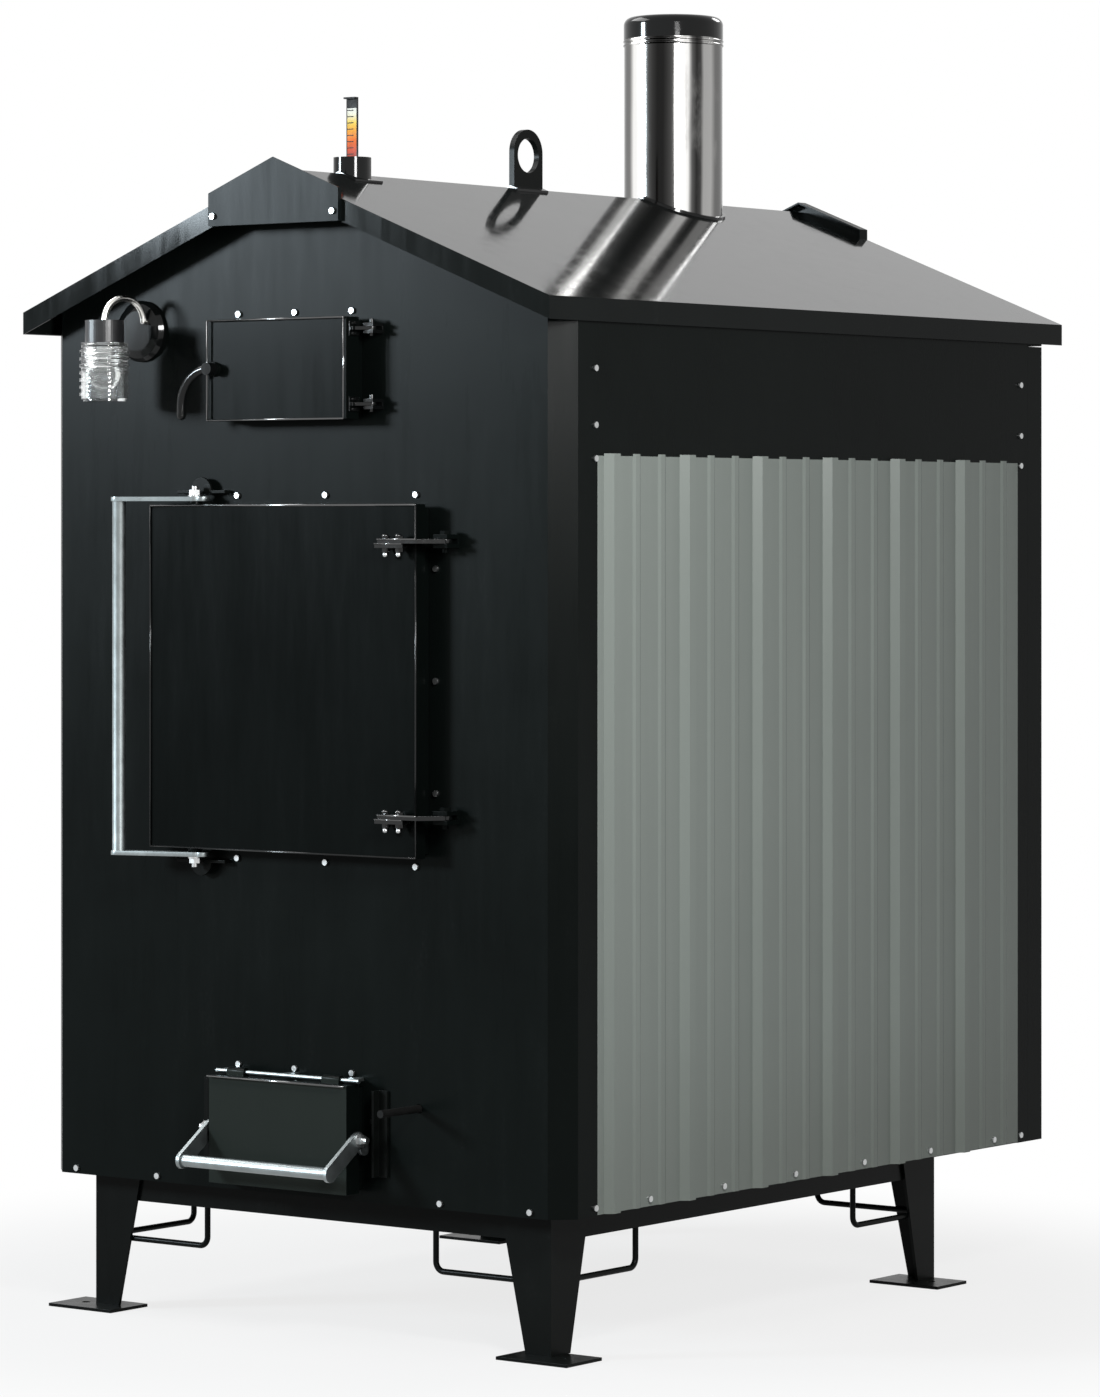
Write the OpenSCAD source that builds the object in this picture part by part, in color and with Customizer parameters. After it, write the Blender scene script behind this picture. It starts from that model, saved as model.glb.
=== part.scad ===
// Outdoor wood boiler in a gabled steel cabinet.
// Millimetres, +Z up, the front with the doors faces -Y.
// Origin: on the floor, at the centre of the four anchor holes in the foot plates.

/* [Cabinet] */
// Width over the flat faces of the side walls
body_w = 1222; // [1180:1:1260]
// Depth from the front panel to the rear door
body_d = 1572; // [1540:1:1620]
// Height of the underside of the cabinet above the floor
cabinet_z = 256; // [230:1:290]
// Thickness of the folded cabinet sheet
sheet = 3; // [2:0.5:4]
// Size of the cut-off front corners
corner_cut = 38; // [25:1:50]
// Width of the post's strip beside a front corner
post_strip = 57; // [45:1:70]
// Width of the rear posts' strip
rear_strip = 37; // [30:1:50]
// Depth of the rear door's pan
rear_door_t = 52; // [45:1:65]
// Height of the plain band above the ribbed sheet
band_h = 270; // [220:1:320]
// Depth of the compartment between the bulkhead and the rear door
rear_room = 226; // [200:1:250]

/* [Ribbed sheet] */
// Distance between major ribs
rib_pitch = 228.6; // [200:0.1:250]
// Distance of the first rib behind the sheet's front edge
rib_start = 40.5; // [32:0.5:50]
// Height of a major rib
rib_h = 14; // [10:1:20]
// Width of a major rib at its foot
rib_foot = 43; // [36:1:56]
// Width of a major rib at its crest
rib_crest = 19; // [12:1:28]
// Height of a minor rib
minor_h = 3; // [2:0.5:5]
// Width of a minor rib at its foot
minor_foot = 24; // [18:1:32]
// Thickness of the ribbed sheet
rib_t = 1.6; // [1:0.2:2.4]
// How far the major ribs lap over the plain band above
rib_lap = 4; // [2:0.5:8]

/* [Roof] */
// Height of the roof at its eaves
eave_z = 1872; // [1850:1:1900]
// Rise of the roof for each millimetre of run
roof_rise = 0.397; // [0.3:0.001:0.45]
// Roof overhang at the front
over_front = 57; // [40:1:80]
// Roof overhang at the rear
over_rear = 62; // [40:1:80]
// Roof overhang at each side
over_side = 9; // [6:1:14]
// Height of the turned-down roof edge
fascia_h = 41; // [30:1:50]
// Half width of the ridge end caps
cap_half = 153; // [120:1:180]
// Height of a ridge end cap above the roof
cap_rise = 20; // [12:1:28]
// How far the rear ridge end cap reaches along the roof
cap_reach = 24; // [16:1:60]
// Depth of the front ridge end cap's tray
cap_tray = 10; // [6:1:16]
// Depth of a ridge end cap's plate at its sides
cap_side = 60; // [50:1:75]

/* [Base] */
// Height of the base rails
rail_h = 50; // [40:1:60]
// Width of the base rails
rail_w = 50; // [40:1:60]
// Wall of the base rails
rail_wall = 4; // [3:0.5:6]
// Thickness of the leg plates
leg_t = 6; // [5:0.5:8]
// Distance from a side wall to the legs' outer faces
leg_inset_x = 73; // [60:1:90]
// Distance from the front panel to the front legs' outer faces
leg_inset_y = 56; // [45:1:70]
// Width of a leg plate at its top
leg_top_w = 112; // [95:1:130]
// Width of a leg plate at its foot
leg_foot_w = 57; // [45:1:70]
// Foot plate size across the front
foot_w = 157; // [150:1:170]
// Foot plate size along the side
foot_d = 104; // [96:1:120]
// Thickness of the foot plates
foot_t = 6; // [5:1:10]
// Radius of the anchor holes
anchor_r = 8; // [6:0.5:9]
// Distance of an anchor hole outside the leg's outer face
anchor_out = 25; // [18:1:28]
// Distance of the rear anchor holes in front of the rear legs' outer faces
foot_back = 50; // [42:1:60]
// Diameter of the leg braces' rod
brace_d = 11; // [8:1:14]
// Distance of the braces' level run below the rails
brace_drop = 72; // [60:1:90]
// Length of a brace from the leg's corner to its upright
brace_reach = 256; // [220:1:280]
// Inner bend radius of the braces
brace_bend = 12; // [8:1:16]

/* [Doors] */
// How far the door frames stand out of the front panel
jamb_out = 18; // [14:1:24]
// Wall of the door frames
jamb_wall = 8; // [6:1:10]
// How far a door laps over its frame on each side
door_lap = 7; // [4:1:9]
// Width of the fire door
main_w = 628; // [600:2:640]
// Height of the fire door
main_h = 630; // [600:2:640]
// Height of the fire door's centre
main_z = 1195; // [1185:1:1205]
// Thickness of the fire door
main_t = 25; // [22:1:32]
// Width of the small doors
small_w = 324; // [300:2:340]
// Height of the cleaning door
upper_h = 184; // [170:2:196]
// Height of the cleaning door's centre
upper_z = 1754.5; // [1745:0.5:1760]
// Height of the ash door
ash_h = 196; // [180:2:200]
// Height of the ash door's centre
ash_z = 371; // [368:1:376]
// Thickness of the small doors
small_t = 36; // [30:1:40]
// Width of the rope gasket
gasket_w = 12; // [10:1:14]
// Depth of the gasket groove
gasket_d = 8; // [6:1:10]

/* [Hinges] */
// Height of the fire door's hinges above and below its centre
hinge_span = 245; // [200:1:260]
// Distance from the fire door's edge to its hinge pin
main_pin_out = 48; // [44:1:56]
// Distance of the hinge pins in front of the panel
pin_off = 22; // [20:0.5:26]
// Radius of the fire door's hinge pins
pin_r = 6; // [5:0.5:7]
// Thickness of the hinge straps
strap_t = 8; // [6:1:10]
// Height of the cleaning door's hinges above and below its centre
small_hinge_span = 68; // [60:1:74]
// Distance from the cleaning door's edge to its hinge pin
upper_pin_out = 32; // [28:1:38]
// Radius of the small hinge pins
small_pin_r = 4; // [3:0.5:5]
// Distance of the ash door's hinge rod above the door
ash_pin_up = 7; // [6:0.5:9]
// Radius of the ash door's hinge rod
ash_rod_r = 4; // [3:0.5:4.5]

/* [Handles] */
// Radius of the fire door's grip
grip_r = 12.5; // [10:0.5:14]
// Distance of the fire door's handle pivots in from the door's edge
bail_pivot_in = 100; // [85:1:115]
// Length of the fire door's handle arms, pivot to grip
bail_arm = 153; // [130:1:170]
// Angle of the closed handle away from the door
bail_angle = 17; // [14:1:30]
// Thickness of the handle arms
arm_t = 8; // [6:1:10]
// Width of the handle arms
arm_w = 30; // [24:1:34]
// Radius of the handle pivot bolts
pivot_r = 6; // [5:0.5:6.5]
// Space between a door's edge and its handle's arms
arm_gap = 7; // [5:0.5:9]
// Radius of the ash door's grip
ash_grip_r = 11; // [9:0.5:13]
// Length of the ash door's handle arms, pivot to grip
ash_arm = 95; // [85:1:110]
// Angle of the ash door's handle below level
ash_angle = 34; // [28:1:42]
// Radius of the curved lever on the cleaning door
lever_r = 8.5; // [6:0.5:10]
// Radius of the lever's bend
lever_sweep = 66; // [50:1:90]

/* [Chimney and fittings] */
// Radius of the chimney's casing
chimney_r = 98; // [90:1:104]
// Radius of the flue inside the chimney
flue_r = 76; // [70:1:80]
// Wall of the chimney's casing and flue
flue_wall = 2; // [1.5:0.5:3]
// Height of the chimney's top
chimney_top = 2484; // [2300:1:2600]
// Height of the dark ring on the chimney
ring_h = 44; // [30:1:60]
// Distance of the chimney's axis in front of the boiler's rear
chimney_in = 104; // [97:1:114]
// Radius of the vent tube
vent_r = 35; // [32:1:40]
// Height of the vent tube's mouth
vent_top = 2149; // [2140:1:2170]
// Distance of the vent tube behind the front panel
vent_in = 161; // [140:1:180]
// Width of the level gauge's strip
gauge_w = 26; // [20:1:30]
// How far the gauge strip stands out of the vent
gauge_out = 111; // [100:1:130]
// Travel of the level gauge
gauge_travel = 80; // [40:1:84]
// Thickness of the lifting eye
eye_t = 12; // [10:1:16]
// Half width of the lifting eye
eye_r = 45; // [42:1:56]
// Radius of the hole in the lifting eye
eye_hole_r = 33; // [26:1:36]
// Height of the lifting eye's hole above the ridge
eye_up = 64; // [58:1:80]
// Distance of the lifting eye behind the origin
eye_y = 37; // [0:1:80]

/* [Lamp] */
// Distance of the lamp left of the centre
lamp_x = 371; // [360:1:390]
// Height of the lamp's wall plate
lamp_z = 1833; // [1815:1:1840]
// Radius of the lamp's wall plate
canopy_r = 57; // [50:1:62]
// Distance of the lamp's axis in front of the panel
lamp_out = 106; // [100:1:120]
// Radius of the glass jar
jar_r = 46; // [42:1:60]
// Radius of the lamp's holder
holder_r = 36; // [34:1:40]
// Height of the glass jar
jar_h = 108; // [90:1:120]

/* [Boiler] */
// Space between the side walls and the water jacket
jacket_gap = 108; // [95:1:120]
// Thickness of the water jacket's plate
jacket_t = 5; // [4:1:8]
// Thickness of the fire box plate
fire_t = 6; // [5:1:10]
// Height of the grate deck above the floor
deck_z = 500; // [490:1:520]
// Height of the fire box's top
fire_top = 1560; // [1540:1:1580]
// Width of a smoke flue
duct_w = 120; // [90:1:140]
// Height of a smoke flue
duct_h = 130; // [90:1:150]
// Wall of the smoke flues
duct_wall = 4; // [3:0.5:6]
// Distance between the smoke flues
duct_pitch = 160; // [156:1:170]
// Stroke of the grate shaker, each way
shaker_stroke = 20; // [10:1:24]
// Distance of the shaker rod right of the centre
shaker_x = 285; // [278:1:290]
// Height of the shaker rod
shaker_z = 431.7; // [425:0.1:440]
// Outer radius of the heating pipes
pipe_r = 21; // [17:0.5:24]
// Wall of the heating pipes
pipe_wall = 3.5; // [2.5:0.5:4]
// Depth of the pipe couplings' sockets
socket_d = 25; // [20:1:35]

/* [Hidden] */
$fn = 48;

// Clearances
seat = 0.3;
run_fit = 0.06;
bolt_fit = 0.4;
cut = 1;

// Cabinet planes
half_w = body_w / 2;
insulated_d = body_d - rear_door_t - rear_room;
anchor_half_y = (insulated_d - leg_inset_y - foot_back) / 2;
front_y = -(anchor_half_y + leg_inset_y);
rear_y = front_y + body_d;
panel_half = half_w - corner_cut;
post_end = front_y + corner_cut + post_strip;
rear_post_end = rear_y - rear_door_t;
rear_post_start = rear_post_end - rear_strip;
bulkhead_rear = front_y + insulated_d;
bulkhead_y = bulkhead_rear - sheet;
floor_top = cabinet_z + sheet;
band_top = eave_z - sheet;
band_z = band_top - band_h;

// Roof
roof_half = half_w + over_side;
roof_v = sheet * sqrt(1 + roof_rise * roof_rise);
roof_front = front_y - over_front;
roof_back = rear_y + over_rear;
function roof_top(x) = eave_z + (roof_half - abs(x)) * roof_rise;
function roof_under(x) = roof_top(x) - roof_v - seat;
ridge_z = roof_top(0);

// Legs
leg_x = half_w - leg_inset_x;
leg_front_y = front_y + leg_inset_y;
leg_rear_y = bulkhead_rear;
rail_x = leg_x - leg_t;
rail_front = leg_front_y + leg_t;
rail_rear = leg_rear_y - leg_t;
rail_z = cabinet_z - rail_h;
anchor_x = leg_x + anchor_out;
foot_out = 48.5;

// Doors
jamb_face = front_y - jamb_out;
door_back = jamb_face - seat;
main_face = door_back - main_t;
small_face = door_back - small_t;
main_jamb_w = main_w - 2 * door_lap;
main_jamb_h = main_h - 2 * door_lap;
small_jamb_w = small_w - 2 * door_lap;
upper_jamb_h = upper_h - 2 * door_lap;
ash_jamb_h = ash_h - 2 * door_lap;
panel_gap = 1;
strap_in = 66;
pin_y = front_y - pin_off;
main_pin_x = main_w / 2 + main_pin_out;
upper_pin_x = small_w / 2 + upper_pin_out;
ash_pin_z = ash_z + ash_h / 2 + ash_pin_up;
ash_rod_off = 32;
ash_pin_y = front_y - ash_rod_off;

// Handles
cam_out = 14;
cam_r = 13;
pivot_deep = 25;
pivot_in = 10;
bail_pivot_x = main_w / 2 - bail_pivot_in;
bail_y = main_face + pivot_in;
bail_arm_z = main_h / 2 + arm_gap;
washer_r = 13;
washer_h = 3;
nut_r = 11;
nut_h = 9;
bolt_end = 7;
// catch plates of the fire door's handle
keeper_half = 58;
keeper_out = 17;
keeper_t = 6;
keeper_gap = 6;
keeper_disc_r = 24;
// ears beside the ash door
ash_bolt_deep = 20;
ear_gap = 15;
ear_t = 5;
ear_out = 20;
ear_w = 24;
ear_top = 10;
ear_low = 31;
catch_r = 7;
catch_h = 6;
catch_up = 34;
catch_off = 11;
ash_cam_y = 5;
ash_cam_z = 22;
ash_cam_r = 13;
ash_pivot_y = door_back - small_t / 2;
ash_arm_x = small_w / 2 + arm_gap;

// Screws
screw_r = 2.4;
screw_head_r = 6;
screw_head_h = 4.5;
screw_len = 9;
screw_edge = 8;
door_row = 17;
upper_row = 12.5;
foot_row = 10.5;
screw_in = 35;
screw_gap = 209;
small_screw_in = 30;
small_screw_gap = 134;
foot_screw_in = 38;
foot_screw_gap = 201;
column_gap = 200;
main_screw_x = [for (k = [2, 1, 0]) main_w / 2 - screw_in - k * screw_gap];
small_screw_x = [for (k = [2, 1, 0]) small_w / 2 - small_screw_in - k * small_screw_gap];
column_z = [-column_gap, 0, column_gap];
foot_screw_x = [for (s = [-1, 1], k = [0, 1]) s * (panel_half - foot_screw_in - k * foot_screw_gap)];
post_screw_low = 15;
post_screw_drop = 9;
band_screw_low = 50;
band_screw_gap = 100;
post_screw_z = [cabinet_z + post_screw_low, band_z - post_screw_drop, band_z + band_screw_low,
  band_z + band_screw_low + band_screw_gap];

// Ribs
rib_first = post_end + rib_start;
rib_count = floor((rear_post_start - rib_first - rib_foot / 2) / rib_pitch) + 1;

// Boiler
jacket_in = 86;
jacket_back = 16;
water_side = 100;
water_front = 60;
water_rear = 65;
jacket_half = half_w - jacket_gap - sheet;
jacket_front = front_y + jacket_in;
jacket_rear = bulkhead_y - jacket_back;
jacket_top = 1860;
chimney_y = jacket_rear - chimney_in;
vent_y = front_y + vent_in;
fire_half = jacket_half - water_side;
fire_front = jacket_front + water_front;
fire_rear = jacket_rear - water_rear;
fire_floor = ash_z - ash_jamb_h / 2 + jamb_wall - fire_t;
carrier_in = 40;
carrier_w = 40;
carrier_end = 60;
smoke_half = 250;
smoke_depth = 120;
smoke_top = jacket_top - 10;
smoke_rim = 10;
duct_up = 200;
duct_z = fire_top + duct_up;
flue_space = 15;
rear_chamber_up = 30;
front_chamber_y = fire_front + smoke_depth;
rear_chamber_y = chimney_y - flue_r - flue_space;
rear_chamber_end = jacket_rear - jacket_t - 10;
// grate
grate_half = 290;
grate_in_front = 264;
grate_in_rear = 260;
grate_front = fire_front + grate_in_front;
grate_back = fire_rear - grate_in_rear;
grate_t = 12;
grate_drop = 14;
grate_seat = deck_z - grate_drop;
grate_side = 2;
grate_end = 4;
rail_over = 40;
rail_under = 20;
rail_plate = 6;
hanger_gap = 3;
hanger_t = 9;
rod_r = 7;
rod_hole_r = 8;
rod_out = 110;
// ash pan
pan_side = 6;
pan_front = 12;
pan_h = 112;
pan_t = 2;
// fan and pipes
blower_x = -250;
blower_z = 420;
blower_r = 95;
blower_depth = 70;
motor_r = 45;
motor_h = 70;
nozzle_r = 40;
nozzle_wall = 3;
pipe_x = [120, 230];
pipe_start_z = [1500, 700];
pipe_back = 110;
pipe_y = bulkhead_rear + pipe_back;
pipe_end = cabinet_z - 20;
pipe_turn = 45;
coupling_wall = 7;
coupling_r = pipe_r + coupling_wall;
latch_x = half_w - 60;
latch_z = 1050;
rear_top = eave_z - fascia_h - 5;
rear_pin_x = -(half_w + 8);
rear_pin_y = rear_post_end + seat;

black = "#191b1c";
sheet_grey = "#8f9594";
zinc = "#b4b8b8";
bright = "#c8cacb";
rust = "#5a5550";

// Helpers -------------------------------------------------------------

// A block from its lowest to its highest corner
module block(a, b) {
  translate(a) cube(b - a);
}

// A round bar along X, Y or Z
module bar_x(x0, x1, y, z, r) {
  translate([x0, y, z]) rotate([0, 90, 0]) cylinder(h = x1 - x0, r = r);
}
module bar_y(x, y0, y1, z, r) {
  translate([x, y1, z]) rotate([90, 0, 0]) cylinder(h = y1 - y0, r = r);
}
module bar_z(x, y, z0, z1, r) {
  translate([x, y, z0]) cylinder(h = z1 - z0, r = r);
}

// An outline in X and Z, given depth from y0 to y1
module slab_y(y0, y1) {
  translate([0, y1, 0]) rotate([90, 0, 0]) linear_extrude(y1 - y0) children();
}

// Both hands of a piece
module mirrored() {
  children();
  mirror([1, 0, 0]) children();
}

// A rectangle on the front, centred on x = 0
module front_rect(w, h, z) {
  translate([-w / 2, z - h / 2]) square([w, h]);
}

// A square ring through the front, used for frames, grooves and gaskets
module front_ring(w, h, z, wall, y0, y1) {
  difference() {
    slab_y(y0, y1) front_rect(w, h, z);
    slab_y(y0 - cut, y1 + cut) front_rect(w - 2 * wall, h - 2 * wall, z);
  }
}

// The outline of a wall that reaches up under the roof
module gable(half, z0) {
  polygon([[-half, z0], [half, z0], [half, roof_under(half)], [0, roof_under(0)], [-half, roof_under(half)]]);
}

// Base ----------------------------------------------------------------

module rail_tube(a, b, wall_a, wall_b) {
  difference() {
    block(a, b);
    block(a + wall_a, b - wall_b);
  }
}

module base_side_rails() {
  w = rail_wall;
  color(black) mirrored() rail_tube(
    [rail_x - rail_w, rail_front, rail_z], [rail_x, rail_rear, cabinet_z], [w, -cut, w], [w, -cut, w]);
}

module base_cross_rails() {
  w = rail_wall;
  span = rail_x - rail_w;
  color(black) for (y = [rail_front, (rail_front + rail_rear - rail_w) / 2, rail_rear - rail_w])
    rail_tube([-span, y, rail_z], [span, y + rail_w, cabinet_z], [-cut, w, w], [-cut, w, w]);
}

module floor_pan() {
  color(black) difference() {
    block([-half_w + sheet, front_y + sheet, cabinet_z], [half_w - sheet, rear_post_end, floor_top]);
    // the sheet clears the cut-off corners
    mirrored() translate([panel_half, front_y, cabinet_z - cut]) rotate([0, 0, -45])
      translate([-sheet, -corner_cut, 0]) cube([3 * corner_cut, 4 * corner_cut, sheet + 2 * cut]);
    for (x = pipe_x) bar_z(x, pipe_y, cabinet_z - cut, floor_top + cut, coupling_r + 2);
  }
}

// One leg: two tapered plates that meet at the outer corner
module leg(side, end) {
  corner_y = end < 0 ? leg_front_y : leg_rear_y;
  h = cabinet_z - foot_t;
  color(black) translate([side * leg_x, corner_y, foot_t]) mirror([side > 0 ? 1 : 0, 0, 0])
    mirror([0, end > 0 ? 1 : 0, 0]) {
      translate([0, leg_t, 0]) rotate([90, 0, 0]) linear_extrude(leg_t)
        polygon([[0, 0], [leg_foot_w, 0], [leg_top_w, h], [0, h]]);
      rotate([90, 0, 90]) linear_extrude(leg_t)
        polygon([[0, 0], [leg_foot_w, 0], [leg_top_w, h], [0, h]]);
    }
}
module legs() {
  for (side = [-1, 1], end = [-1, 1]) leg(side, end);
}

module foot_plates() {
  x1 = anchor_x + foot_out;
  color(black) for (y = [-anchor_half_y, anchor_half_y]) mirrored() difference() {
    block([x1 - foot_w, y - foot_d / 2, 0], [x1, y + foot_d / 2, foot_t]);
    bar_z(anchor_x, y, -cut, foot_t + cut, anchor_r);
  }
}

// A quarter bend of rod in the plane of a and b, from its start to its end
module rod_bend() {
  rotate_extrude(angle = 90) translate([brace_bend + brace_d / 2, 0]) circle(d = brace_d);
}

// One leg's brace: up to a rail, along, round the inside of the leg, along and up
module brace() {
  r = brace_d / 2;
  m = brace_bend + r;
  run = brace_reach - 2 * m;
  // laid out with the corner at the origin, arms along +X and +Y
  for (flip = [0, 1]) mirror([flip, -flip, 0]) {
    translate([m, 0, 0]) rotate([0, 90, 0]) cylinder(h = run, d = brace_d);
    translate([m + run, 0, m]) rotate([90, 0, 0]) rotate([0, 0, -90]) rod_bend();
    translate([brace_reach, 0, m]) cylinder(h = brace_drop - m, d = brace_d);
  }
  translate([m, m, 0]) rotate([0, 0, 180]) rod_bend();
}

module leg_braces() {
  r = brace_d / 2;
  z = rail_z - brace_drop;
  color(black) mirrored() {
    translate([-(rail_x - r), rail_front + r, z]) brace();
    translate([-(rail_x - r), rail_rear - r, z]) mirror([0, 1, 0]) brace();
  }
}

// Screws --------------------------------------------------------------

// Places of the screws in the front panel, as x and z
front_screws = concat(
  [for (x = main_screw_x, s = [-1, 1]) [x, main_z + s * (main_h / 2 + door_row)]],
  [for (x = small_screw_x) [x, upper_z + upper_h / 2 + upper_row]],
  [for (x = small_screw_x) [x, ash_z + ash_h / 2 + door_row]],
  [for (x = foot_screw_x) [x, cabinet_z + foot_row]],
  [for (z = column_z) [main_w / 2 + foot_row, main_z + z]]);

// Places of the screws in the ribbed sheet and its posts, as y and z
pan_screws = [for (i = [0 : rib_count - 1]) [rib_first + (i + 0.5) * rib_pitch, cabinet_z + 15]];
edge_screws = [for (y = [post_end - screw_edge, rear_post_start + screw_edge], z = post_screw_z) [y, z]];

// A screw along +Z with the underside of its head at the origin, longer where it crosses a space
module screw(space = 0) {
  bar_z(0, 0, -screw_len - space, 0.1, screw_r);
  cylinder(h = screw_head_h / 2, r = screw_head_r);
  translate([0, 0, screw_head_h / 2]) intersection() {
    sphere(r = screw_head_r);
    cylinder(h = screw_head_h / 2, r = screw_head_r);
  }
}

module panel_screws() {
  color(bright) {
    for (p = front_screws) translate([p[0], front_y, p[1]]) rotate([90, 0, 0]) screw();
    mirrored() {
      for (p = pan_screws) translate([half_w, p[0], p[1]]) rotate([0, 90, 0]) screw();
      for (p = edge_screws) translate([half_w, p[0], p[1]]) rotate([0, 90, 0]) screw();
    }
    mirrored() {
      translate([cap_screw_x, roof_front - cap_tray, cap_screw_z]) rotate([90, 0, 0]) screw(cap_tray);
      translate([cap_screw_x, roof_back + sheet, cap_screw_z]) rotate([-90, 0, 0]) screw();
    }
  }
}

// Cabinet -------------------------------------------------------------

module front_panel() {
  color(black) difference() {
    slab_y(front_y, front_y + sheet) gable(panel_half, cabinet_z);
    slab_y(front_y - cut, front_y + sheet + cut) {
      front_rect(main_jamb_w + 2 * panel_gap, main_jamb_h + 2 * panel_gap, main_z);
      front_rect(small_jamb_w + 2 * panel_gap, upper_jamb_h + 2 * panel_gap, upper_z);
      front_rect(small_jamb_w + 2 * panel_gap, ash_jamb_h + 2 * panel_gap, ash_z);
    }
    for (p = front_screws) bar_y(p[0], front_y - cut, front_y + sheet + cut, p[1], screw_r + bolt_fit);
    bar_y(shaker_x, front_y - cut, front_y + sheet + cut, shaker_z, rod_hole_r + bolt_fit);
  }
}

// The plan outline of a front corner post
module post_outline() {
  inner = sheet * (sqrt(2) - 1);
  polygon([[panel_half, front_y], [half_w, front_y + corner_cut], [half_w, post_end],
    [half_w - sheet, post_end], [half_w - sheet, front_y + corner_cut + inner],
    [panel_half, front_y + sheet * sqrt(2)]]);
}

module front_post() {
  color(black) difference() {
    translate([0, 0, cabinet_z]) linear_extrude(roof_under(half_w) - cabinet_z) post_outline();
    for (z = post_screw_z) bar_x(half_w - sheet - cut, half_w + cut, post_end - screw_edge, z,
      screw_r + bolt_fit);
  }
}
module front_post_left() { mirror([1, 0, 0]) front_post(); }
module front_post_right() { front_post(); }

rear_hinge_up = 200;
rear_hinge_down = 220;
rear_hinge_z = [cabinet_z + rear_hinge_up, latch_z, rear_top - rear_hinge_down];
hinge_h = 55;

module rear_posts() {
  flange = 50;
  // knuckles and pins that carry the rear door
  color(black) for (z = rear_hinge_z) {
    bar_z(rear_pin_x, rear_pin_y, z, z + hinge_h, 6);
    bar_z(rear_pin_x, rear_pin_y, z, z + 2 * hinge_h, 3);
    block([rear_pin_x, rear_pin_y - 6, z], [-half_w + cut, rear_pin_y - 2, z + hinge_h]);
  }
  color(black) mirrored() difference() {
    union() {
      block([half_w - sheet, rear_post_start, floor_top], [half_w, rear_post_end, roof_under(half_w)]);
      block([half_w - flange, rear_post_end - sheet, floor_top], [half_w, rear_post_end, rear_top]);
      block([half_w - sheet, rear_post_start, cabinet_z], [half_w, rear_post_end, floor_top]);
    }
    for (z = post_screw_z)
      bar_x(half_w - sheet - cut, half_w + cut, rear_post_start + screw_edge, z, screw_r + bolt_fit);
  }
}

module upper_bands() {
  color(black) mirrored()
    block([half_w - sheet, post_end, band_z - rib_lap], [half_w, rear_post_start, roof_under(half_w)]);
}

// The height of the ribbed profile's corners, as y and height
function major(y) = [[y - rib_foot / 2, 0], [y - rib_crest / 2, rib_h], [y + rib_crest / 2, rib_h],
  [y + rib_foot / 2, 0]];
function minor(y) = [[y - minor_foot / 2, 0], [y - minor_foot / 4, minor_h], [y + minor_foot / 4, minor_h],
  [y + minor_foot / 2, 0]];
rib_line = concat([[post_end, 0]],
  [for (i = [0 : rib_count - 1]) each concat(major(rib_first + i * rib_pitch),
    [for (k = [1, 2]) if (rib_first + (i + k / 3) * rib_pitch + minor_foot < rear_post_start)
      each minor(rib_first + (i + k / 3) * rib_pitch)])],
  [[rear_post_start, 0]]);

module side_sheet() {
  inner = half_w - rib_t;
  outer = [for (p = rib_line) [half_w + p[1], p[0]]];
  back = [for (i = [len(rib_line) - 1 : -1 : 0]) [inner + rib_line[i][1], rib_line[i][0]]];
  color(sheet_grey) difference() {
    translate([0, 0, cabinet_z + 2]) linear_extrude(band_z - cabinet_z - 2) polygon(concat(outer, back));
    // only the ribs run up over the band
    block([inner - cut, post_end - cut, band_z - rib_lap], [half_w + seat, rear_post_start + cut, band_z + cut]);
    for (p = pan_screws) bar_x(inner - cut, half_w + cut, p[0], p[1], screw_r + bolt_fit);
  }
}
module side_sheet_left() { mirror([1, 0, 0]) side_sheet(); }
module side_sheet_right() { side_sheet(); }

module bulkhead() {
  inner = half_w - sheet - seat;
  color(black) difference() {
    slab_y(bulkhead_y, bulkhead_rear) gable(inner, floor_top);
    bar_y(blower_x, bulkhead_y - cut, bulkhead_rear + cut, blower_z, nozzle_r + bolt_fit);
    for (i = [0, 1]) bar_y(pipe_x[i], bulkhead_y - cut, bulkhead_rear + cut, pipe_start_z[i],
      pipe_r + bolt_fit);
  }
}

// The fixed gable above the rear door, with its side returns
module rear_gable() {
  low = rear_top + 2;
  color(black) {
    slab_y(rear_y - sheet, rear_y) gable(half_w, low);
    mirrored() block([half_w - sheet, rear_post_end, low], [half_w, rear_y - sheet, roof_under(half_w)]);
  }
}

// The chevron of the roof, from its top down by h
module chevron(half, top, h) {
  polygon([[-half, roof_top(half) - h], [0, ridge_z - h], [half, roof_top(half) - h],
    [half, roof_top(half) - top], [0, ridge_z - top], [-half, roof_top(half) - top]]);
}

module roof() {
  color(black) difference() {
    slab_y(roof_front, roof_back) chevron(roof_half, 0, fascia_h);
    slab_y(roof_front + sheet, roof_back - sheet)
      chevron(roof_half - sheet, roof_v, fascia_h + 2 * roof_half);
    bar_z(0, chimney_y, eave_z, ridge_z + cut, chimney_r + bolt_fit);
    bar_z(0, vent_y, eave_z, ridge_z + cut, vent_r + bolt_fit);
    block([-eye_t / 2 - bolt_fit, eye_y - eye_r - bolt_fit, eave_z],
      [eye_t / 2 + bolt_fit, eye_y + eye_r + bolt_fit, ridge_z + cut]);
    cap_screw_holes();
  }
}

cap_low = roof_top(cap_half) + cap_rise - cap_side;
cap_screw_x = cap_half - 12;
cap_screw_z = cap_low + 18;

// Holes for the screws that hold the ridge end caps to the roof's front and rear edges
module cap_screw_holes() {
  hole = screw_r + bolt_fit;
  mirrored() {
    bar_y(cap_screw_x, roof_front - cap_tray - cut, roof_front + sheet + cut, cap_screw_z, hole);
    bar_y(cap_screw_x, roof_back - sheet - cut, roof_back + sheet + cut, cap_screw_z, hole);
  }
}

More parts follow.
